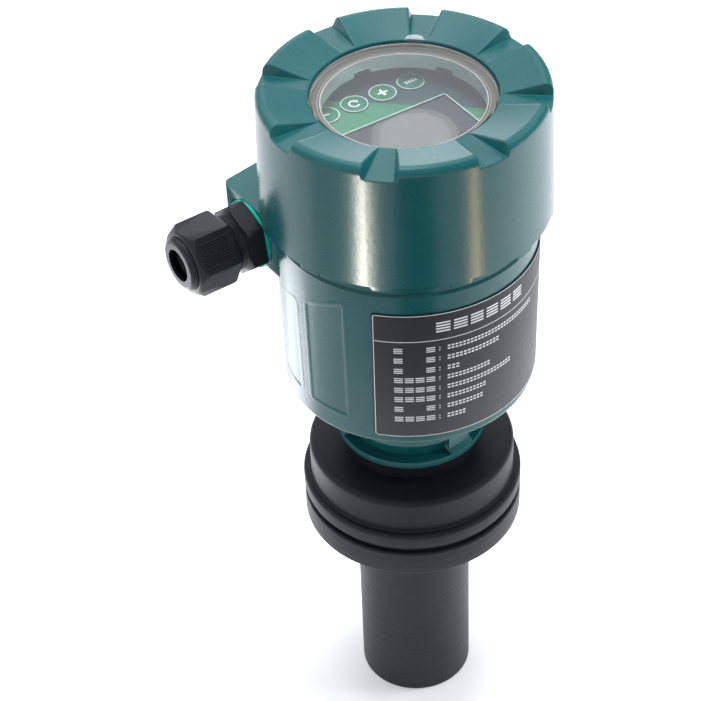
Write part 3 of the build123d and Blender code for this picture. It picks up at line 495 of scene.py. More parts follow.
def notchWall(depth, halfWidth):
    # across one notch wall from its floor to the sector's top: (distance from the notch's middle, share of depth)
    depth = max(depth, 0.05)
    lean = math.tan(math.radians(cover["wallDraft"]))
    foot = Vector((halfWidth, 0.0))
    top = Vector((halfWidth + depth * lean, depth))
    footReach = min(cover["wallFootRound"], 0.4 * depth)
    topReach = min(cover["wallTopRound"], 0.45 * depth)
    points = bentCorner(foot - Vector((1.0, 0.0)), foot, top, footReach, 4)
    points += bentCorner(foot, top, top + Vector((1.0, 0.0)), topReach, 6)
    return [(p.x, min(1.0, p.y / depth)) for p in points]


def coverMesh():
    edge = cover["windowEdge"]
    rimTop = edge + cover["dish"]
    lean = (cover["topRadius"] - cover["bottomRadius"]) / (rimTop - coverBottom)

    def sideRadius(z):
        return cover["bottomRadius"] + lean * (z - coverBottom)

    def floorAt(r):
        return edge - cover["notchDrop"] * (r - cover["notchStart"]) / (cover["notchEnd"] - cover["notchStart"])

    def dishAt(r):
        return edge + cover["dish"] * (r - cover["windowRadius"]) / (cover["topRadius"] - cover["windowRadius"])

    # rows from the window's seat outwards and down: ((sector point), (notch point)), radius and height
    seat = edge - cover["windowLip"]
    inner = Vector((cover["windowRadius"], edge))
    outer = Vector((cover["topRadius"], rimTop))
    foot = Vector((cover["bottomRadius"], coverBottom))
    rows = [((cover["windowRadius"], seat),) * 2]
    for spot in bentCorner(Vector((cover["windowRadius"], seat)), inner, outer, cover["windowRound"], 4):
        rows.append((tuple(spot),) * 2)
    arc = bentCorner(inner, outer, foot, cover["edgeReach"], 9)
    start = cover["notchStart"]
    radii = [start + 0.15 * k for k in range(1, 6)]
    radii += [start + 1.0 + (arc[0].x - start - 1.0) * k / 14 for k in range(15)]
    for r in radii:
        ease = min(max((r - start) / cover["notchEase"], 0.0), 1.0)
        rows.append(((r, dishAt(r)), (r, dishAt(r) + (floorAt(r) - dishAt(r)) * ease)))
    cornerZ = floorAt(cover["topRadius"])
    cornerRound = cover["cornerRound"]
    low = arc[-1].y
    for step in range(1, 10):
        r = arc[0].x + (sideRadius(cornerZ) - cornerRound - arc[0].x) * step / 9
        rows.append((tuple(arc[step]), (r, floorAt(r))))
    for step in range(1, 5):
        turn = math.radians(90.0 * step / 4)
        z = low - (low - cornerZ + cover["notchRuns"]) * step / 4
        bend = (sideRadius(cornerZ) - cornerRound * (1 - math.sin(turn)), cornerZ - cornerRound * (1 - math.cos(turn)))
        rows.append(((sideRadius(z), z), bend))
    wallTop = rows[-1][0][1] - cover["rowGap"]
    steps = 14
    gapTop = coverBottom + cover["tabHeight"]
    outerRows = len(rows)
    for step in range(steps + 1):
        z = wallTop + (gapTop + cover["tabEdge"] - wallTop) * step / steps
        rows.append(((sideRadius(z), z),) * 2)

    # columns: across each notch, over each wall, and over each sector
    pitch = 2 * math.pi / cover["notches"]
    floorSteps, sectorSteps = 5, 34

    def ringPoints(row):
        (r1, z1), (r0, z0) = rows[row]
        reach = max(r1, cover["notchStart"])
        share = (reach - cover["notchStart"]) / (cover["notchEnd"] - cover["notchStart"])
        width = cover["notchWidths"][0] + (cover["notchWidths"][1] - cover["notchWidths"][0]) * min(share, 1.0)
        depthRow = min(row, outerRows - 14)
        depth = rows[depthRow][0][1] - rows[depthRow][1][1]
        section = notchWall(depth, width / 2)
        ring = []
        for index in range(cover["notches"]):
            centreAngle = math.radians(cover["notchAzimuth"]) + index * pitch
            start = section[0][0]
            end = section[-1][0] / reach
            offsets = [((-start + 2 * start * k / floorSteps) / reach, 0.0) for k in range(1, floorSteps)]
            offsets += [(x / reach, up) for x, up in section]
            offsets += [(end + (pitch - 2 * end) * k / sectorSteps, 1.0) for k in range(1, sectorSteps)]
            offsets += [(pitch - x / reach, up) for x, up in reversed(section)]
            ring += [(r0 + (r1 - r0) * up, centreAngle + angle, z0 + (z1 - z0) * up) for angle, up in offsets]
        return ring

    rings = [[roundAxis(*point) for point in ringPoints(row)] for row in range(len(rows))]

    # the rim: tabs below the wall, then the underside, the bore and the basket
    angles = [angle for radius, angle, height in ringPoints(len(rows) - 1)]

    def onTab(angle):
        tabPitch = 2 * math.pi / cover["tabs"]
        away = (angle - math.radians(cover["notchAzimuth"]) + tabPitch / 2) % tabPitch - tabPitch / 2
        return abs(away) < cover["tabWidth"] / 2 / cover["bottomRadius"]

    def rim(radiusTab, radiusGap, zTab, zGap):
        return [((radiusTab if onTab(a) else radiusGap), a, (zTab if onTab(a) else zGap)) for a in angles]

    basketOuter = cover["basketBore"] + cover["basketWall"]
    basketBottom = edge - cover["basketDepth"]
    grooveTop = basketBottom + cover["basketGroove"]
    threadTop = coverBottom + cover["threadHeight"]
    side, soft = cover["bottomRadius"], cover["tabRound"]
    for spots in (
            rim(sideRadius(gapTop), sideRadius(gapTop), gapTop, gapTop),
            rim(side, side - soft, coverBottom + soft, gapTop),
            rim(side - soft, side - cover["tabEdge"], coverBottom, gapTop),
            rim(cover["tabInner"], cover["tabInner"], coverBottom, gapTop),
            rim(cover["tabInner"], cover["tabInner"], coverBottom, coverBottom)):
        rings.append([roundAxis(*spot) for spot in spots])
    for r, z in ((cover["threadRadius"], coverBottom), (cover["threadRadius"], threadTop),
                 (cover["cavityRadius"], threadTop), (cover["cavityRadius"], grooveTop), (basketOuter, grooveTop),
                 (basketOuter, basketBottom), (cover["basketBore"], basketBottom), (cover["basketBore"], seat)):
        rings.append([roundAxis(r, angle, z) for angle in angles])
    return closedRings("castCover", rings)


castCover = showMesh("castCover", coverMesh(), "cover", "painted_casting", "cover")
print("cover", len(castCover.data.polygons))


# copies of CAD nodes with a finer surface
for node, body in (("housing", "housing"), ("flange_gasket", "housing"), ("window_glass", "cover"),
                   ("retaining_ring", "cover"), ("cover_seal", "cover_carrier")):
    smoothCopy(node, body)
for node, body in (("gland_washer", "housing"), ("gland_claw", "gland_insert"), ("gland_seal", "gland_insert")):
    smoothCopy(node, body, glandFrame)
for node, body in (("gland_body", "housing"), ("gland_nut", "gland_nut")):
    smoothCopy(node, body, crease=16.0, turned=False)
print("turned pieces shaded")


# the adapter and the probe, turned from outlines with soft edges: (radius, height, edge radius)
lathe = {
    "adapterTurned": {"node": "adapter_ring", "steps": 144, "outline": [
        (12.0, 99.9, 0), (20.0, 99.9, 0), (20.0, 110.6, 0), (44.8, 110.6, 1.1), (44.8, 117.5, 1.5), (41.7, 117.5, 0.7),
        (41.7, 133.2, 2.3), (31.0, 132.6, 0), (26.5, 132.2, 0), (26.5, 140.3, 0),
        (18.0, 140.3, 0), (18.0, 148.0, 0), (12.0, 148.0, 0)]},
    "probeTurned": {"node": "probe_housing", "steps": 144, "outline": [
        (0, 0, 0), (23.5, 0, 1.0), (23.5, 96.0, 0.5), (44.7, 96.0, 1.3), (44.7, 107.7, 1.0), (20.25, 107.7, 0),
        (20.25, 99.5, 0), (19.8, 99.5, 0), (19.8, 2.0, 0), (0, 2.0, 0)]},
}


def turnedMesh(name, outline, steps):
    points = []
    for index, (radius, height, soft) in enumerate(outline):
        corner = Vector((radius, height))
        if not soft:
            points.append(corner)
            continue
        before = Vector(outline[index - 1][:2])
        after = Vector(outline[(index + 1) % len(outline)][:2])
        half = (before - corner).angle(after - corner) / 2
        points += bentCorner(before, corner, after, soft / math.tan(half), 8)
    rings = [[roundAxis(p.x, 2 * math.pi * k / steps, p.y) for k in range(steps)] for p in points]
    return closedRings(name, rings, 40.0)


for name, piece in lathe.items():
    showMesh(name, turnedMesh(name, piece["outline"], piece["steps"]), "housing", "probe_plastic", piece["node"])
print("adapter and probe turned")


# things that lie on the drafted wall: the panels, the plate and its print

def roundedOutline(corners, radius, steps=6):
    points = [Vector(c) for c in corners]
    found = []
    for index, corner in enumerate(points):
        found += bentCorner(points[index - 1], corner, points[(index + 1) % len(points)], radius, steps)
    return found


def inset(outline, amount):
    count = len(outline)
    found = []
    for index, point in enumerate(outline):
        ahead = (outline[(index + 1) % count] - outline[index - 1]).normalized()
        found.append(point + Vector((-ahead.y, ahead.x)) * amount)
    return found


def bluntEdge(proud, sunk, bevel):
    # (inset, height) from the back of a plate to the rim of its rounded front
    steps = [(0.0, -sunk), (0.0, proud - bevel)]
    for step in range(1, 4):
        turn = math.radians(30.0 * step)
        steps.append((bevel * (1 - math.cos(turn)), proud - bevel * (1 - math.sin(turn))))
    return steps


def wallPiece(name, outline, middle, profile, slices=1.2):
    # outline points are (distance round the wall from the middle azimuth, height), anticlockwise
    build = bmesh.new()
    layers = [(inset(outline, amount) if amount else outline, height) for amount, height in profile]
    loops = [[build.verts.new((p.x, p.y, out)) for p in points] for points, out in layers]
    for lower, upper in zip(loops, loops[1:]):
        for index in range(len(lower)):
            after = (index + 1) % len(lower)
            build.faces.new((lower[index], lower[after], upper[after], upper[index]))
    build.faces.new(loops[-1])
    build.faces.new(list(reversed(loops[0])))
    left = min(p.x for p in outline)
    right = max(p.x for p in outline)
    count = max(2, int((right - left) / slices))
    for step in range(1, count):
        cut = left + (right - left) * step / count
        bmesh.ops.bisect_plane(build, geom=build.verts[:] + build.edges[:] + build.faces[:],
                               plane_co=(cut, 0.0, 0.0), plane_no=(1.0, 0.0, 0.0))
    bmesh.ops.triangulate(build, faces=[f for f in build.faces if len(f.verts) > 4])
    for vert in build.verts:
        angle = math.radians(middle) + vert.co.x / wallRadius(vert.co.y)
        r = wallRadius(vert.co.y) + vert.co.z
        vert.co = Vector(roundAxis(r, angle, vert.co.y))
    bmesh.ops.recalc_face_normals(build, faces=build.faces)
    return meshOf(name, build, 40.0)


def wallCorners(reach, bottom, leftTop, rightTop):
    return [(-reach, wall["bottom"] + bottom), (reach, wall["bottom"] + bottom),
            (reach, wall["bottom"] + rightTop), (-reach, wall["bottom"] + leftTop)]


panel = {"corner": 1.6, "spare": 0.05}
# the sunk panels' edges roll in from the wall: (inset, height)
panelRoll = [(-1.5, -0.55), (-1.5, -0.01), (-1.1, 0.03), (-0.5, 0.045), (-0.1, 0.03), (0.2, -0.01), (0.5, -0.09),
             (0.8, -0.17), (1.1, -0.22), (1.4, -0.24)]
for name, pad in pads.items():
    reach = wall["lowRadius"] * math.radians((pad["right"] - pad["left"]) / 2) + panel["spare"]
    outline = roundedOutline(wallCorners(reach, pad["bottom"], pad["leftTop"], pad["rightTop"]), panel["corner"])
    showMesh(name, wallPiece(name, outline, (pad["left"] + pad["right"]) / 2, panelRoll), "housing", "painted_casting")

plate = {"left": -16.0, "right": 88.0, "bottom": 5.1, "top": 64.8, "proud": 0.55, "sunk": -0.15, "corner": 1.2,
         "bevel": 0.08, "radius": 49.7}
plateMiddle = (plate["left"] + plate["right"]) / 2
plateReach = plate["radius"] * math.radians((plate["right"] - plate["left"]) / 2)
plateOutline = roundedOutline(wallCorners(plateReach, plate["bottom"], plate["top"], plate["top"]), plate["corner"])
showMesh("printedPlate", wallPiece("printedPlate", plateOutline, plateMiddle,
                                   bluntEdge(plate["proud"], plate["sunk"], plate["bevel"])),
         "housing", "plate_black", "nameplate")
print("panels and plate made")


# pieces grown with node trees
def newGrowth(name, *labels):
    group = bpy.data.node_groups.new(name, "GeometryNodeTree")
    group.interface.new_socket(name="Seed", in_out="INPUT", socket_type="NodeSocketGeometry")
    for label in labels:
        kind = "NodeSocketInt" if label in ("Count", "Columns") else "NodeSocketFloat"
        group.interface.new_socket(name=label, in_out="INPUT", socket_type=kind)
    group.interface.new_socket(name="Grown", in_out="OUTPUT", socket_type="NodeSocketGeometry")
    return group, group.nodes.new("NodeGroupInput").outputs


def endGrowth(group, geometry, finish):
    single = put(group, "GeometryNodeRealizeInstances", {"Geometry": geometry})
    coloured = put(group, "GeometryNodeSetMaterial", {"Geometry": single.outputs["Geometry"], "Material": finish})
    put(group, "NodeGroupOutput", {"Grown": coloured.outputs["Geometry"]})
    return group


def tubeAlong(group, curve, sides, radius, caps=False):
    section = put(group, "GeometryNodeCurvePrimitiveCircle", {"Resolution": sides, "Radius": radius})
    tube = put(group, "GeometryNodeCurveToMesh", {
        "Curve": curve.outputs["Curve"], "Profile Curve": section.outputs["Curve"], "Fill Caps": caps})
    return tube.outputs["Mesh"]


def onPoints(group, points, shape, **inputs):
    inputs.update({"Points": points, "Instance": shape})
    return put(group, "GeometryNodeInstanceOnPoints", inputs).outputs["Instances"]


def grow(name, group, values, seed=None):
    # runs the tree on a seed mesh and gives back a plain mesh
    holder = addObject(name, seed or bpy.data.meshes.new(name + "Seed"))
    modifier = holder.modifiers.new("growth", "NODES")
    modifier.node_group = group
    for item in group.interface.items_tree:
        if item.item_type == "SOCKET" and item.in_out == "INPUT" and item.name in values:
            modifier[item.identifier] = values[item.name]
    mesh = bpy.data.meshes.new_from_object(holder.evaluated_get(bpy.context.evaluated_depsgraph_get()))
    mesh.name = name
    holder.modifiers.remove(modifier)
    bpy.data.objects.remove(holder)
    return mesh


def threadGrowth():
    # a rounded crest wound up a cylinder
    group, given = newGrowth("threadCrest", "Radius", "Rise", "Turns", "Crest")
    path = put(group, "GeometryNodeCurveSpiral", {
        "Resolution": 96, "Rotations": given["Turns"], "Start Radius": given["Radius"],
        "End Radius": given["Radius"], "Height": given["Rise"]})
    return endGrowth(group, tubeAlong(group, path, 10, given["Crest"], True), finishes["seal_rubber"])


crestTree = threadGrowth()
threads = {
    "collarThread": {"radius": 46.5, "from": 250.2, "to": 262.2, "turns": 6.0, "crest": 0.5, "sink": 0.41,
                     "slot": "painted_casting", "place": Matrix.Identity(4)},
    "glandThread": {"radius": 11.0, "from": 9.0, "to": 21.0, "turns": 8.0, "crest": 0.42, "sink": 0.21,
                    "slot": "gland_nylon", "place": glandFrame},
}
for name, thread in threads.items():
    mesh = grow(name, crestTree, {"Radius": (thread["radius"] - thread["sink"]) * mm, "Turns": thread["turns"],
                                  "Rise": (thread["to"] - thread["from"]) * mm, "Crest": thread["crest"] * mm})
    mesh.transform(thread["place"] @ Matrix.Translation((0.0, 0.0, thread["from"] * mm)))
    softShade(mesh, 60.0)
    showMesh(name, mesh, "housing", thread["slot"])
print("threads wound")


def ribGrowth():
    # a row of round ribs, standing side by side
    group, given = newGrowth("gripRibs", "Count", "Pitch", "Length", "Radius")
    step = put(group, "ShaderNodeCombineXYZ", {"Y": given["Pitch"]})
    row = put(group, "GeometryNodeMeshLine", {"Count": given["Count"], "Offset": step.outputs["Vector"]},
              mode="OFFSET")
    top = put(group, "ShaderNodeCombineXYZ", {"Z": given["Length"]})
    path = put(group, "GeometryNodeCurvePrimitiveLine", {"End": top.outputs["Vector"]})
    rib = tubeAlong(group, path, 12, given["Radius"], True)
    return endGrowth(group, onPoints(group, row.outputs["Mesh"], rib), finishes["gland_nylon"])


ribs = {"flats": 3, "count": 10, "pitch": 1.0, "radius": 0.27, "flat": 12.7, "sink": 0.08, "from": 15.0, "to": 26.8,
        "clock": 36.0}
ribTree = ribGrowth()
build = bmesh.new()
for flat in range(ribs["flats"]):
    mesh = grow("gripRibs" + str(flat), ribTree, {
        "Count": ribs["count"], "Pitch": ribs["pitch"] * mm, "Length": (ribs["to"] - ribs["from"]) * mm,
        "Radius": ribs["radius"] * mm})
    turn = Matrix.Rotation(math.radians(ribs["clock"] + 360.0 * flat / ribs["flats"]), 4, "Z")
    shift = Vector((ribs["flat"] - ribs["sink"], (1 - ribs["count"]) / 2 * ribs["pitch"], ribs["from"])) * mm
    mesh.transform(glandFrame @ turn @ Matrix.Translation(shift))
    build.from_mesh(mesh)
showMesh("gripRibs", meshOf("gripRibs", build, 50.0), "gland_nut", "gland_nylon")
print("nut ribbed")


def barGrowth():
    # one flat bar on each seed point, with the size and turn that the point carries
    group, given = newGrowth("printedBars", "Columns")
    bar = put(group, "GeometryNodeMeshGrid", {
        "Size X": 1.0, "Size Y": 1.0, "Vertices X": given["Columns"], "Vertices Y": 2})
    size, turn = (
        put(group, "GeometryNodeInputNamedAttribute", {"Name": label}, data_type="FLOAT_VECTOR").outputs["Attribute"]
        for label in ("size", "turn"))
    return endGrowth(group, onPoints(group, given["Seed"], bar.outputs["Mesh"], Rotation=turn, Scale=size), paleInk)


def barSeed(name, bars):
    # bars: (x, y, width, height, turn in degrees)
    mesh = bpy.data.meshes.new(name)
    mesh.from_pydata([(x, y, 0.0) for x, y, *rest in bars], [], [])
    size = mesh.attributes.new("size", "FLOAT_VECTOR", "POINT")
    turn = mesh.attributes.new("turn", "FLOAT_VECTOR", "POINT")
    for index, (x, y, width, height, angle) in enumerate(bars):
        size.data[index].vector = (width, height, 1.0)
        turn.data[index].vector = (0.0, 0.0, math.radians(angle))
    return mesh


def lineGrowth():
    # a thin line round a rectangle with rounded corners
    group, given = newGrowth("framedLine", "Width", "Height", "Corner", "Thickness")
    frameCurve = put(group, "GeometryNodeCurvePrimitiveQuadrilateral", {
        "Width": given["Width"], "Height": given["Height"]})
    rounded = put(group, "GeometryNodeFilletCurve", {
        "Curve": frameCurve.outputs["Curve"], "Radius": given["Corner"], "Count": 6}, mode="POLY")
    even = put(group, "GeometryNodeResampleCurve", {"Curve": rounded.outputs["Curve"], "Length": 0.9}, mode="LENGTH")
    return endGrowth(group, tubeAlong(group, even, 6, given["Thickness"]), paleInk)


def ringGrowth():
    # one round line on each seed point
    group, given = newGrowth("keyRings", "Radius", "Thickness", "Start", "Sweep")
    arc = put(group, "GeometryNodeCurveArc", {
        "Resolution": 48, "Radius": given["Radius"], "Start Angle": given["Start"], "Sweep Angle": given["Sweep"]})
    line = tubeAlong(group, arc, 6, given["Thickness"])
    return endGrowth(group, onPoints(group, given["Seed"], line), paleInk)


barTree = barGrowth()
lineTree = lineGrowth()
ringTree = ringGrowth()


def flattened(mesh, thickness):
    tall = max((v.co.z for v in mesh.vertices), default=0.0)
    for vert in mesh.vertices:
        vert.co.z *= thickness / tall if tall else 1.0
    return mesh


def ontoWall(mesh, middle, proud):
    # x runs round the wall from the middle azimuth and y up it, all in millimetres
    for vert in mesh.vertices:
        height = wall["bottom"] + vert.co.y
        radius = wallRadius(height) + proud
        vert.co = roundAxis(radius + vert.co.z, math.radians(middle) + vert.co.x / radius, height)
    return mesh


# the plate's print: a border, a divider, a heading bar and eight rows of plain bars
marks = {
    "border": 0.35, "line": 0.15, "proud": 0.57, "divider": 52.3, "heading": (10.3, 56.7, 58.8, 4.6),
    "label": (-7.3, 13.1), "value": 15.8, "barHeight": 2.3,
    "rows": [(48.1, 64.9), (43.3, 41.4), (38.3, 21.6), (33.7, 36.6), (28.9, 48.9), (24.2, 34.6), (19.3, 33.1),
             (14.3, 24.6)],
    "shortLabels": (0, 1, 2, 6), "out": 0.9, "headingFill": 0.8, "labelGap": 1.8, "labelFill": 0.82, "dot": 0.45,
    "dotBack": 0.4, "dotShift": 0.6, "valuePitch": 1.55, "valueFill": 0.7, "valueTall": 0.86, "corner": 0.8,
    "borderThick": 0.02,
}


def alongWall(azimuth):
    return (wall["lowRadius"] + marks["out"]) * math.radians(azimuth - plateMiddle)


def strokes(centre, height, width, tall, lines):
    # a small block of thin strokes, which reads as print from afar
    step = tall / (2 * lines - 1)
    return [(centre, height - tall / 2 + step * (2 * k + 0.5), width, step, 0.0) for k in range(lines)]


def plateBars():
    bars = []
    left, right, height, tall = marks["heading"]
    step = (alongWall(right) - alongWall(left)) / 6
    for index in range(6):
        bars += strokes(alongWall(left) + step * (index + 0.5), height - 0.5, step * marks["headingFill"], tall, 4)
    first, last = alongWall(marks["label"][0]), alongWall(marks["label"][1])
    width = (last - first - marks["labelGap"]) / 4
    for row, (height, end) in enumerate(marks["rows"]):
        for index in (0, 3) if row in marks["shortLabels"] else range(4):
            bars += strokes(first + width * (index + 0.5), height, width * marks["labelFill"], marks["barHeight"], 3)
        bars += [(last - marks["dotBack"], height + up, marks["dot"], marks["dot"], 0.0)
                 for up in (-marks["dotShift"], marks["dotShift"])]
        start, stop = alongWall(marks["value"]), alongWall(end)
        count = max(2, round((stop - start) / marks["valuePitch"]))
        for index in range(count):
            spot = start + (stop - start) * (index + 0.5) / count
            bars += strokes(spot, height, (stop - start) / count * marks["valueFill"],
                            marks["barHeight"] * marks["valueTall"], 2)
    return bars


def printOnPlate(name, mesh):
    showMesh(name, ontoWall(mesh, plateMiddle, marks["proud"]), "housing", "plate_black", finish=paleInk)


insideBorder = 2 * plateReach - 2 * marks["border"]
printOnPlate("plateBars", grow("plateBars", barTree, {"Columns": 4}, barSeed("barSeed", plateBars())))
borderMesh = flattened(grow("plateBorder", lineTree, {
    "Width": insideBorder, "Height": plate["top"] - plate["bottom"] - 2 * marks["border"],
    "Corner": marks["corner"], "Thickness": marks["line"]}), marks["borderThick"])
borderMesh.transform(Matrix.Translation((0.0, (plate["top"] + plate["bottom"]) / 2, 0.0)))
printOnPlate("plateBorder", borderMesh)
printOnPlate("plateDivider", grow("plateDivider", barTree, {"Columns": 90}, barSeed("dividerSeed", [
    (0.0, marks["divider"], insideBorder, 2 * marks["line"], 0.0)])))
print("plate printed")

# rings and plain signs on the keys, and the line round the display
keyLooks = {"ring": 5.05, "line": 0.2, "thick": 0.05, "sign": 0.42, "lift": 0.02}
keySigns = {
    1: {"bars": [(0.0, 0.0, 3.4, 0.8, 0.0)]},
    2: {"bars": [(1.6, 0.7, 1.5, 0.7, 60.0), (1.0, 1.1, 1.4, 0.7, -25.0)], "arc": (1.9, 40.0, 275.0)},
    3: {"bars": [(0.0, 0.0, 4.2, 1.0, 0.0), (0.0, 1.3, 1.0, 1.6, 0.0), (0.0, -1.3, 1.0, 1.6, 0.0)]},
    4: {"bars": [(-1.9, 0.0, 0.9, 1.6, 12.0), (-0.5, 0.0, 0.9, 1.6, 12.0), (0.9, 0.0, 0.9, 1.6, 12.0),
                 (2.3, 0.0, 0.9, 1.6, 12.0)]},
}
scaleDown = Matrix.Diagonal((mm, mm, mm, 1.0))


def onDisplay(x, y, z):
    return displayFrame @ Matrix.Translation((x * mm, y * mm, z * mm)) @ scaleDown


def keyArc(name, radius, thickness, start, sweep):
    values = {"Radius": radius, "Thickness": thickness, "Start": math.radians(start), "Sweep": math.radians(sweep)}
    line = grow(name, ringTree, values, barSeed("arcSeed", [(0.0, 0.0, 1.0, 1.0, 0.0)]))
    return flattened(line, keyLooks["thick"])


for number, column in enumerate(display["keyColumns"], 1):
    sign = keySigns[number]
    build = bmesh.new()
    build.from_mesh(keyArc("keyRing", keyLooks["ring"], keyLooks["line"], 0.0, 360.0))
    build.from_mesh(grow("keySign", barTree, {"Columns": 2}, barSeed("signSeed", sign["bars"])))
    if "arc" in sign:
        radius, start, sweep = sign["arc"]
        build.from_mesh(keyArc("keyArc", radius, keyLooks["sign"], start, sweep))
    mesh = meshOf("keyMarks" + str(number), build)
    mesh.transform(onDisplay(column, display["keyRow"], display["keyTop"] + keyLooks["lift"]))
    showMesh("keyMarks" + str(number), mesh, "key_" + str(number), "key_print", finish=paleInk)

screen = {"width": 47.9, "height": 26.4, "centre": (0.0, -4.4), "line": 0.19, "thick": 0.06, "corner": 0.4,
          "lift": 0.01}
lineMesh = flattened(grow("screenLine", lineTree, {
    "Width": screen["width"], "Height": screen["height"], "Corner": screen["corner"],
    "Thickness": screen["line"]}), screen["thick"])
lineMesh.transform(onDisplay(*screen["centre"], display["top"] + screen["lift"]))
showMesh("screenLine", lineMesh, "housing", "display_print", finish=paleInk)
print("keys and screen marked")

# the clear film on the glass, with its rounded tab over the back edge
film = {"radius": 33.7, "low": 298.07, "thickness": 0.16, "azimuth": 172.5, "width": 7.0, "corner": 3.0, "bend": 0.45,
        "sides": 96, "across": 8, "along": 12,
        "path": [(31.9, 298.25), (33.6, 299.3), (34.5, 299.9), (36.3, 299.9)]}


def filmMesh():
    build = bmesh.new()
    count, across, along = film["sides"], film["across"], film["along"]
    low, high = (
        [build.verts.new(roundAxis(film["radius"], 2 * math.pi * k / count, film["low"] + lift)) for k in range(count)]
        for lift in (0.0, film["thickness"]))
    for k in range(count):
        after = (k + 1) % count
        build.faces.new((low[k], low[after], high[after], high[k]))
    build.faces.new(high)
    build.faces.new(list(reversed(low)))
    # the tab: a ribbon along its path, narrowed at the end by its round corners
    path = [Vector(p) for p in film["path"]]
    points = [path[0]]
    for index in range(1, len(path) - 1):
        points += bentCorner(path[index - 1], path[index], path[index + 1], film["bend"], 5)
    points += [points[-1].lerp(path[-1], k / along) for k in range(1, along + 1)]
    turn = Matrix.Rotation(math.radians(film["azimuth"] - 90.0), 3, "Z")
    layers = []
    for lift in (0.0, film["thickness"]):
        rows = []
        for point in points:
            short = max(film["corner"] - (path[-1] - point).length, 0.0)
            half = film["width"] / 2 - film["corner"] + math.sqrt(max(film["corner"] ** 2 - short ** 2, 0.0))
            rows.append([build.verts.new(turn @ Vector((point.x, half * (2 * k / across - 1), point.y + lift)) * mm)
                         for k in range(across + 1)])
        layers.append(rows)
    under, over = layers
    last = len(points) - 1
    for rows in layers:
        for i in range(last):
            for k in range(across):
                build.faces.new((rows[i][k], rows[i + 1][k], rows[i + 1][k + 1], rows[i][k + 1]))
    for i in range(last):
        for k in (0, across):
            build.faces.new((under[i][k], under[i + 1][k], over[i + 1][k], over[i][k]))
    for i in (0, last):
        for k in range(across):
            build.faces.new((under[i][k], under[i][k + 1], over[i][k + 1], over[i][k]))
    bmesh.ops.recalc_face_normals(build, faces=build.faces)
    return meshOf("filmSheet", build, 40.0)


showMesh("filmSheet", filmMesh(), "cover", "clear_film", "protective_film")
print("film laid")

# camera, floor and light

camera = {"place": (0.0, -0.63153, 0.72184), "yaw": -2.1126, "pitch": 40.730, "roll": -2.677, "lens": 108.479,
          "sensor": 36.0}
yaw, pitch, roll = (math.radians(camera[key]) for key in ("yaw", "pitch", "roll"))
forward = Vector((math.sin(yaw) * math.cos(pitch), math.cos(yaw) * math.cos(pitch), -math.sin(pitch)))
right = Vector((math.cos(yaw), -math.sin(yaw), 0.0))
upward = right.cross(forward)
cameraX = math.cos(roll) * right + math.sin(roll) * upward
cameraY = -math.sin(roll) * right + math.cos(roll) * upward
view = bpy.data.cameras.new("view")
view.lens = camera["lens"]
view.sensor_width = camera["sensor"]
viewer = addObject("view", view)
viewer.matrix_world = Matrix((
    (cameraX.x, cameraY.x, -forward.x, camera["place"][0]),
    (cameraX.y, cameraY.y, -forward.y, camera["place"][1]),
    (cameraX.z, cameraY.z, -forward.z, camera["place"][2]),
    (0.0, 0.0, 0.0, 1.0)))
bpy.context.scene.camera = viewer
bpy.context.scene.view_settings.view_transform = "Standard"


# strengths of the room, the lamps and the floor's own glow
light = {
    "left": 0.65, "right": 0.35, "columnLow": 2.0, "columnDip": 0.5, "columnHigh": 3.4, "wings": 0.9, "ceiling": 23.0,
    "rightLamp": 14.0, "frontLamp": 4.2, "leftFront": 1.5, "cream": 2.3, "amber": 0.5, "floorLeft": 0.4,
    "floorRight": 0.35, "patch": 3.2,
}
tints = {"room": (0.95, 0.985, 1.04), "cream": (1.0, 0.95, 0.82), "amber": (1.0, 0.66, 0.36)}


def mattSheet(name, corners, height, tone):
    # a flat sheet of the studio, with no gloss of its own
    mesh = bpy.data.meshes.new(name)
    mesh.from_pydata([(x, y, height) for x, y in corners], [], [tuple(range(len(corners)))])
    material, tree, shader = newFinish(name)
    fill(tree, shader, {"Base Color": (tone, tone, tone, 1.0), "Roughness": 0.9, "Specular IOR Level": 0.0})
    mesh.materials.append(material)
    sheet = addObject(name, mesh)
    return sheet, tree, shader


# the floor glows a little: less in front, and more in a patch at the left
floor = {"reach": 6.0, "tone": 0.78, "sides": (-0.1, 0.1), "back": (-0.15, 0.05), "patchAt": (-0.25, 0.105, 0.0),
         "patchReach": (0.06, 0.12)}
reach = floor["reach"]
sheet, tree, shader = mattSheet("studioFloor", [(-reach, -reach), (reach, -reach), (reach, reach), (-reach, reach)],
                                0.0, floor["tone"])
split = apart(tree, objectSpot(tree))
sides = between(tree, split["X"], light["floorLeft"], light["floorRight"], *floor["sides"])
back = between(tree, split["Y"], 0.0, 1.0, *floor["back"])
patch = between(tree, distanceFrom(tree, floor["patchAt"]), light["patch"], 0.0, *floor["patchReach"])
fill(tree, shader, {"Emission Color": (*tints["room"], 1.0),
                    "Emission Strength": maths(tree, "ADD", maths(tree, "MULTIPLY", sides, back), patch)})

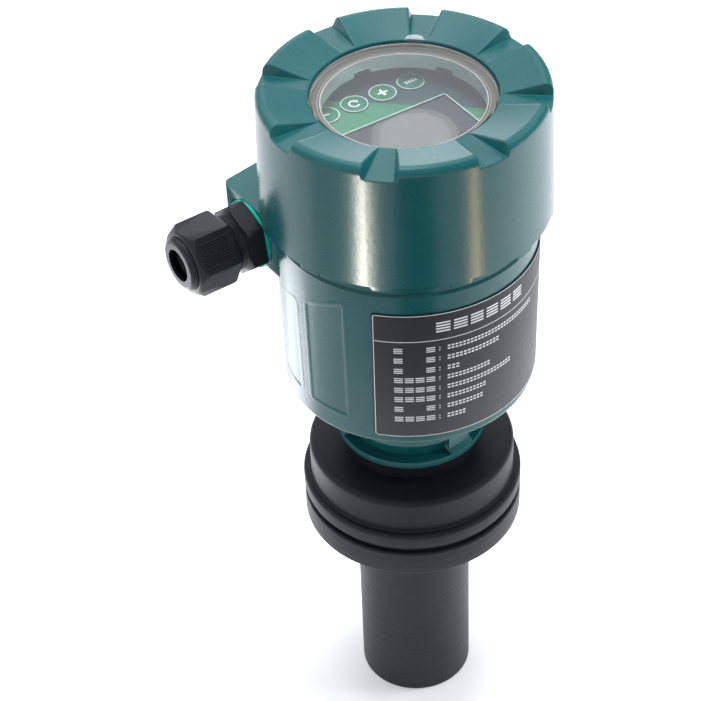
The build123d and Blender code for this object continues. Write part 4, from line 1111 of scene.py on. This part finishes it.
# the room: dim at the sides, with a bright column behind the object that reaches overhead
room = {"centre": -0.03, "column": (0.085, 0.155), "behind": (-0.05, 0.15), "wings": (0.15, 0.25),
        "wingsFrom": (0.4, 0.6), "sides": (-0.25, 0.25), "topLevel": 4.0,
        "ramp": [(0.0, "columnLow"), (0.42, "columnLow"), (0.48, "columnDip"), (0.605, "columnDip"),
                 (0.64, "columnLow"), (0.83, "columnLow"), (0.90, "columnHigh")]}
world = bpy.data.worlds.new("whiteRoom")
world.use_nodes = True
bpy.context.scene.world = world
tree = world.node_tree
towards = apart(tree, put(tree, "ShaderNodeTexCoord").outputs["Generated"])
aside = maths(tree, "ABSOLUTE", maths(tree, "ADD", towards["X"], -room["centre"]))
behind = between(tree, towards["Y"], 0.0, 1.0, *room["behind"])
stops = [(height, (light[name] / room["topLevel"],) * 3) for height, name in room["ramp"]]
strength = maths(tree, "MULTIPLY", ramped(tree, towards["Z"], stops), room["topLevel"])
column = maths(tree, "MULTIPLY", between(tree, aside, 1.0, 0.0, *room["column"]), behind)
wings = maths(tree, "MULTIPLY", between(tree, aside, 0.0, light["wings"], *room["wings"]), behind)
high = between(tree, towards["Z"], 0.0, 1.0, *room["wingsFrom"])
bright = maths(tree, "ADD", maths(tree, "MULTIPLY", column, strength), maths(tree, "MULTIPLY", wings, high))
sides = between(tree, towards["X"], light["left"], light["right"], *room["sides"])
fill(tree, tree.nodes["Background"], {"Color": (*tints["room"], 1.0), "Strength": maths(tree, "ADD", bright, sides)})

painted = bpy.data.collections.new("painted")
painted.objects.link(castCover)


def softLight(name, spot, target, size, watts, colour=(1.0, 1.0, 1.0)):
    lamp = bpy.data.lights.new(name, "AREA")
    lamp.shape = "RECTANGLE"
    lamp.size, lamp.size_y = size
    lamp.energy = watts
    lamp.color = colour
    lampObject = addObject(name, lamp)
    spot = Vector(spot)
    lampObject.matrix_world = (Matrix.Translation(spot)
                               @ (Vector(target) - spot).to_track_quat("-Z", "Y").to_matrix().to_4x4())
    lampObject.visible_camera = False
    return lampObject


# lamps: place, target and size
lamps = {
    "ceiling": ((0.0, 0.1, 1.7), (0.0, 0.0, 0.0), (0.6, 0.6)),
    "rightLamp": ((1.25, 0.15, 0.6), (0.0, 0.0, 0.2), (0.6, 0.6)),
    "frontLamp": ((-0.1, -1.5, 0.35), (0.0, 0.0, 0.2), (0.8, 0.5)),
    "leftFront": ((-1.15, -0.65, 0.45), (0.0, 0.0, 0.2), (0.6, 0.5)),
}
for name, (spot, target, size) in lamps.items():
    softLight(name, spot, target, size, light[name]).visible_glossy = False

# narrow lights just above the floor, whose image runs down the curved walls: azimuth and width
strips = {"near": 0.285, "far": 0.62, "height": 0.01, "lamps": {"cream": (-31.5, 0.045), "amber": (50.0, 0.04)}}
for name, (azimuth, width) in strips["lamps"].items():
    lamp = softLight(name + "Strip", (0.0, 0.0, 0.0), (0.0, 0.0, 1.0), (width, strips["far"] - strips["near"]),
                     light[name], tints[name])
    angle = math.radians(azimuth)
    middle = (strips["near"] + strips["far"]) / 2
    lamp.matrix_world = (
        Matrix.Translation((middle * math.sin(angle), -middle * math.cos(angle), strips["height"]))
        @ Matrix.Rotation(angle, 4, "Z") @ Matrix.Rotation(math.pi, 4, "X"))
    lamp.visible_diffuse = False
    lamp.visible_transmission = False
    lamp.light_linking.receiver_collection = painted

# cards on the floor in front, seen only in the gloss of the walls: corners, height and tone
cards = {
    "greyCard": ([(-0.15, -0.215), (-0.32, -0.12), (-1.2, -0.3), (-1.2, -1.2), (1.2, -1.2), (1.2, -0.3),
                  (0.15, -0.215)], 0.002, 0.42),
    "floorCard": ([(-0.035, -0.24), (-0.09, -0.7), (0.24, -0.7), (0.10, -0.225)], 0.004, 0.008),
}
for name, look in cards.items():
    card, tree, shader = mattSheet(name, *look)
    card.visible_camera = False
    card.visible_shadow = False
    card.visible_transmission = False
print("camera and lights set")
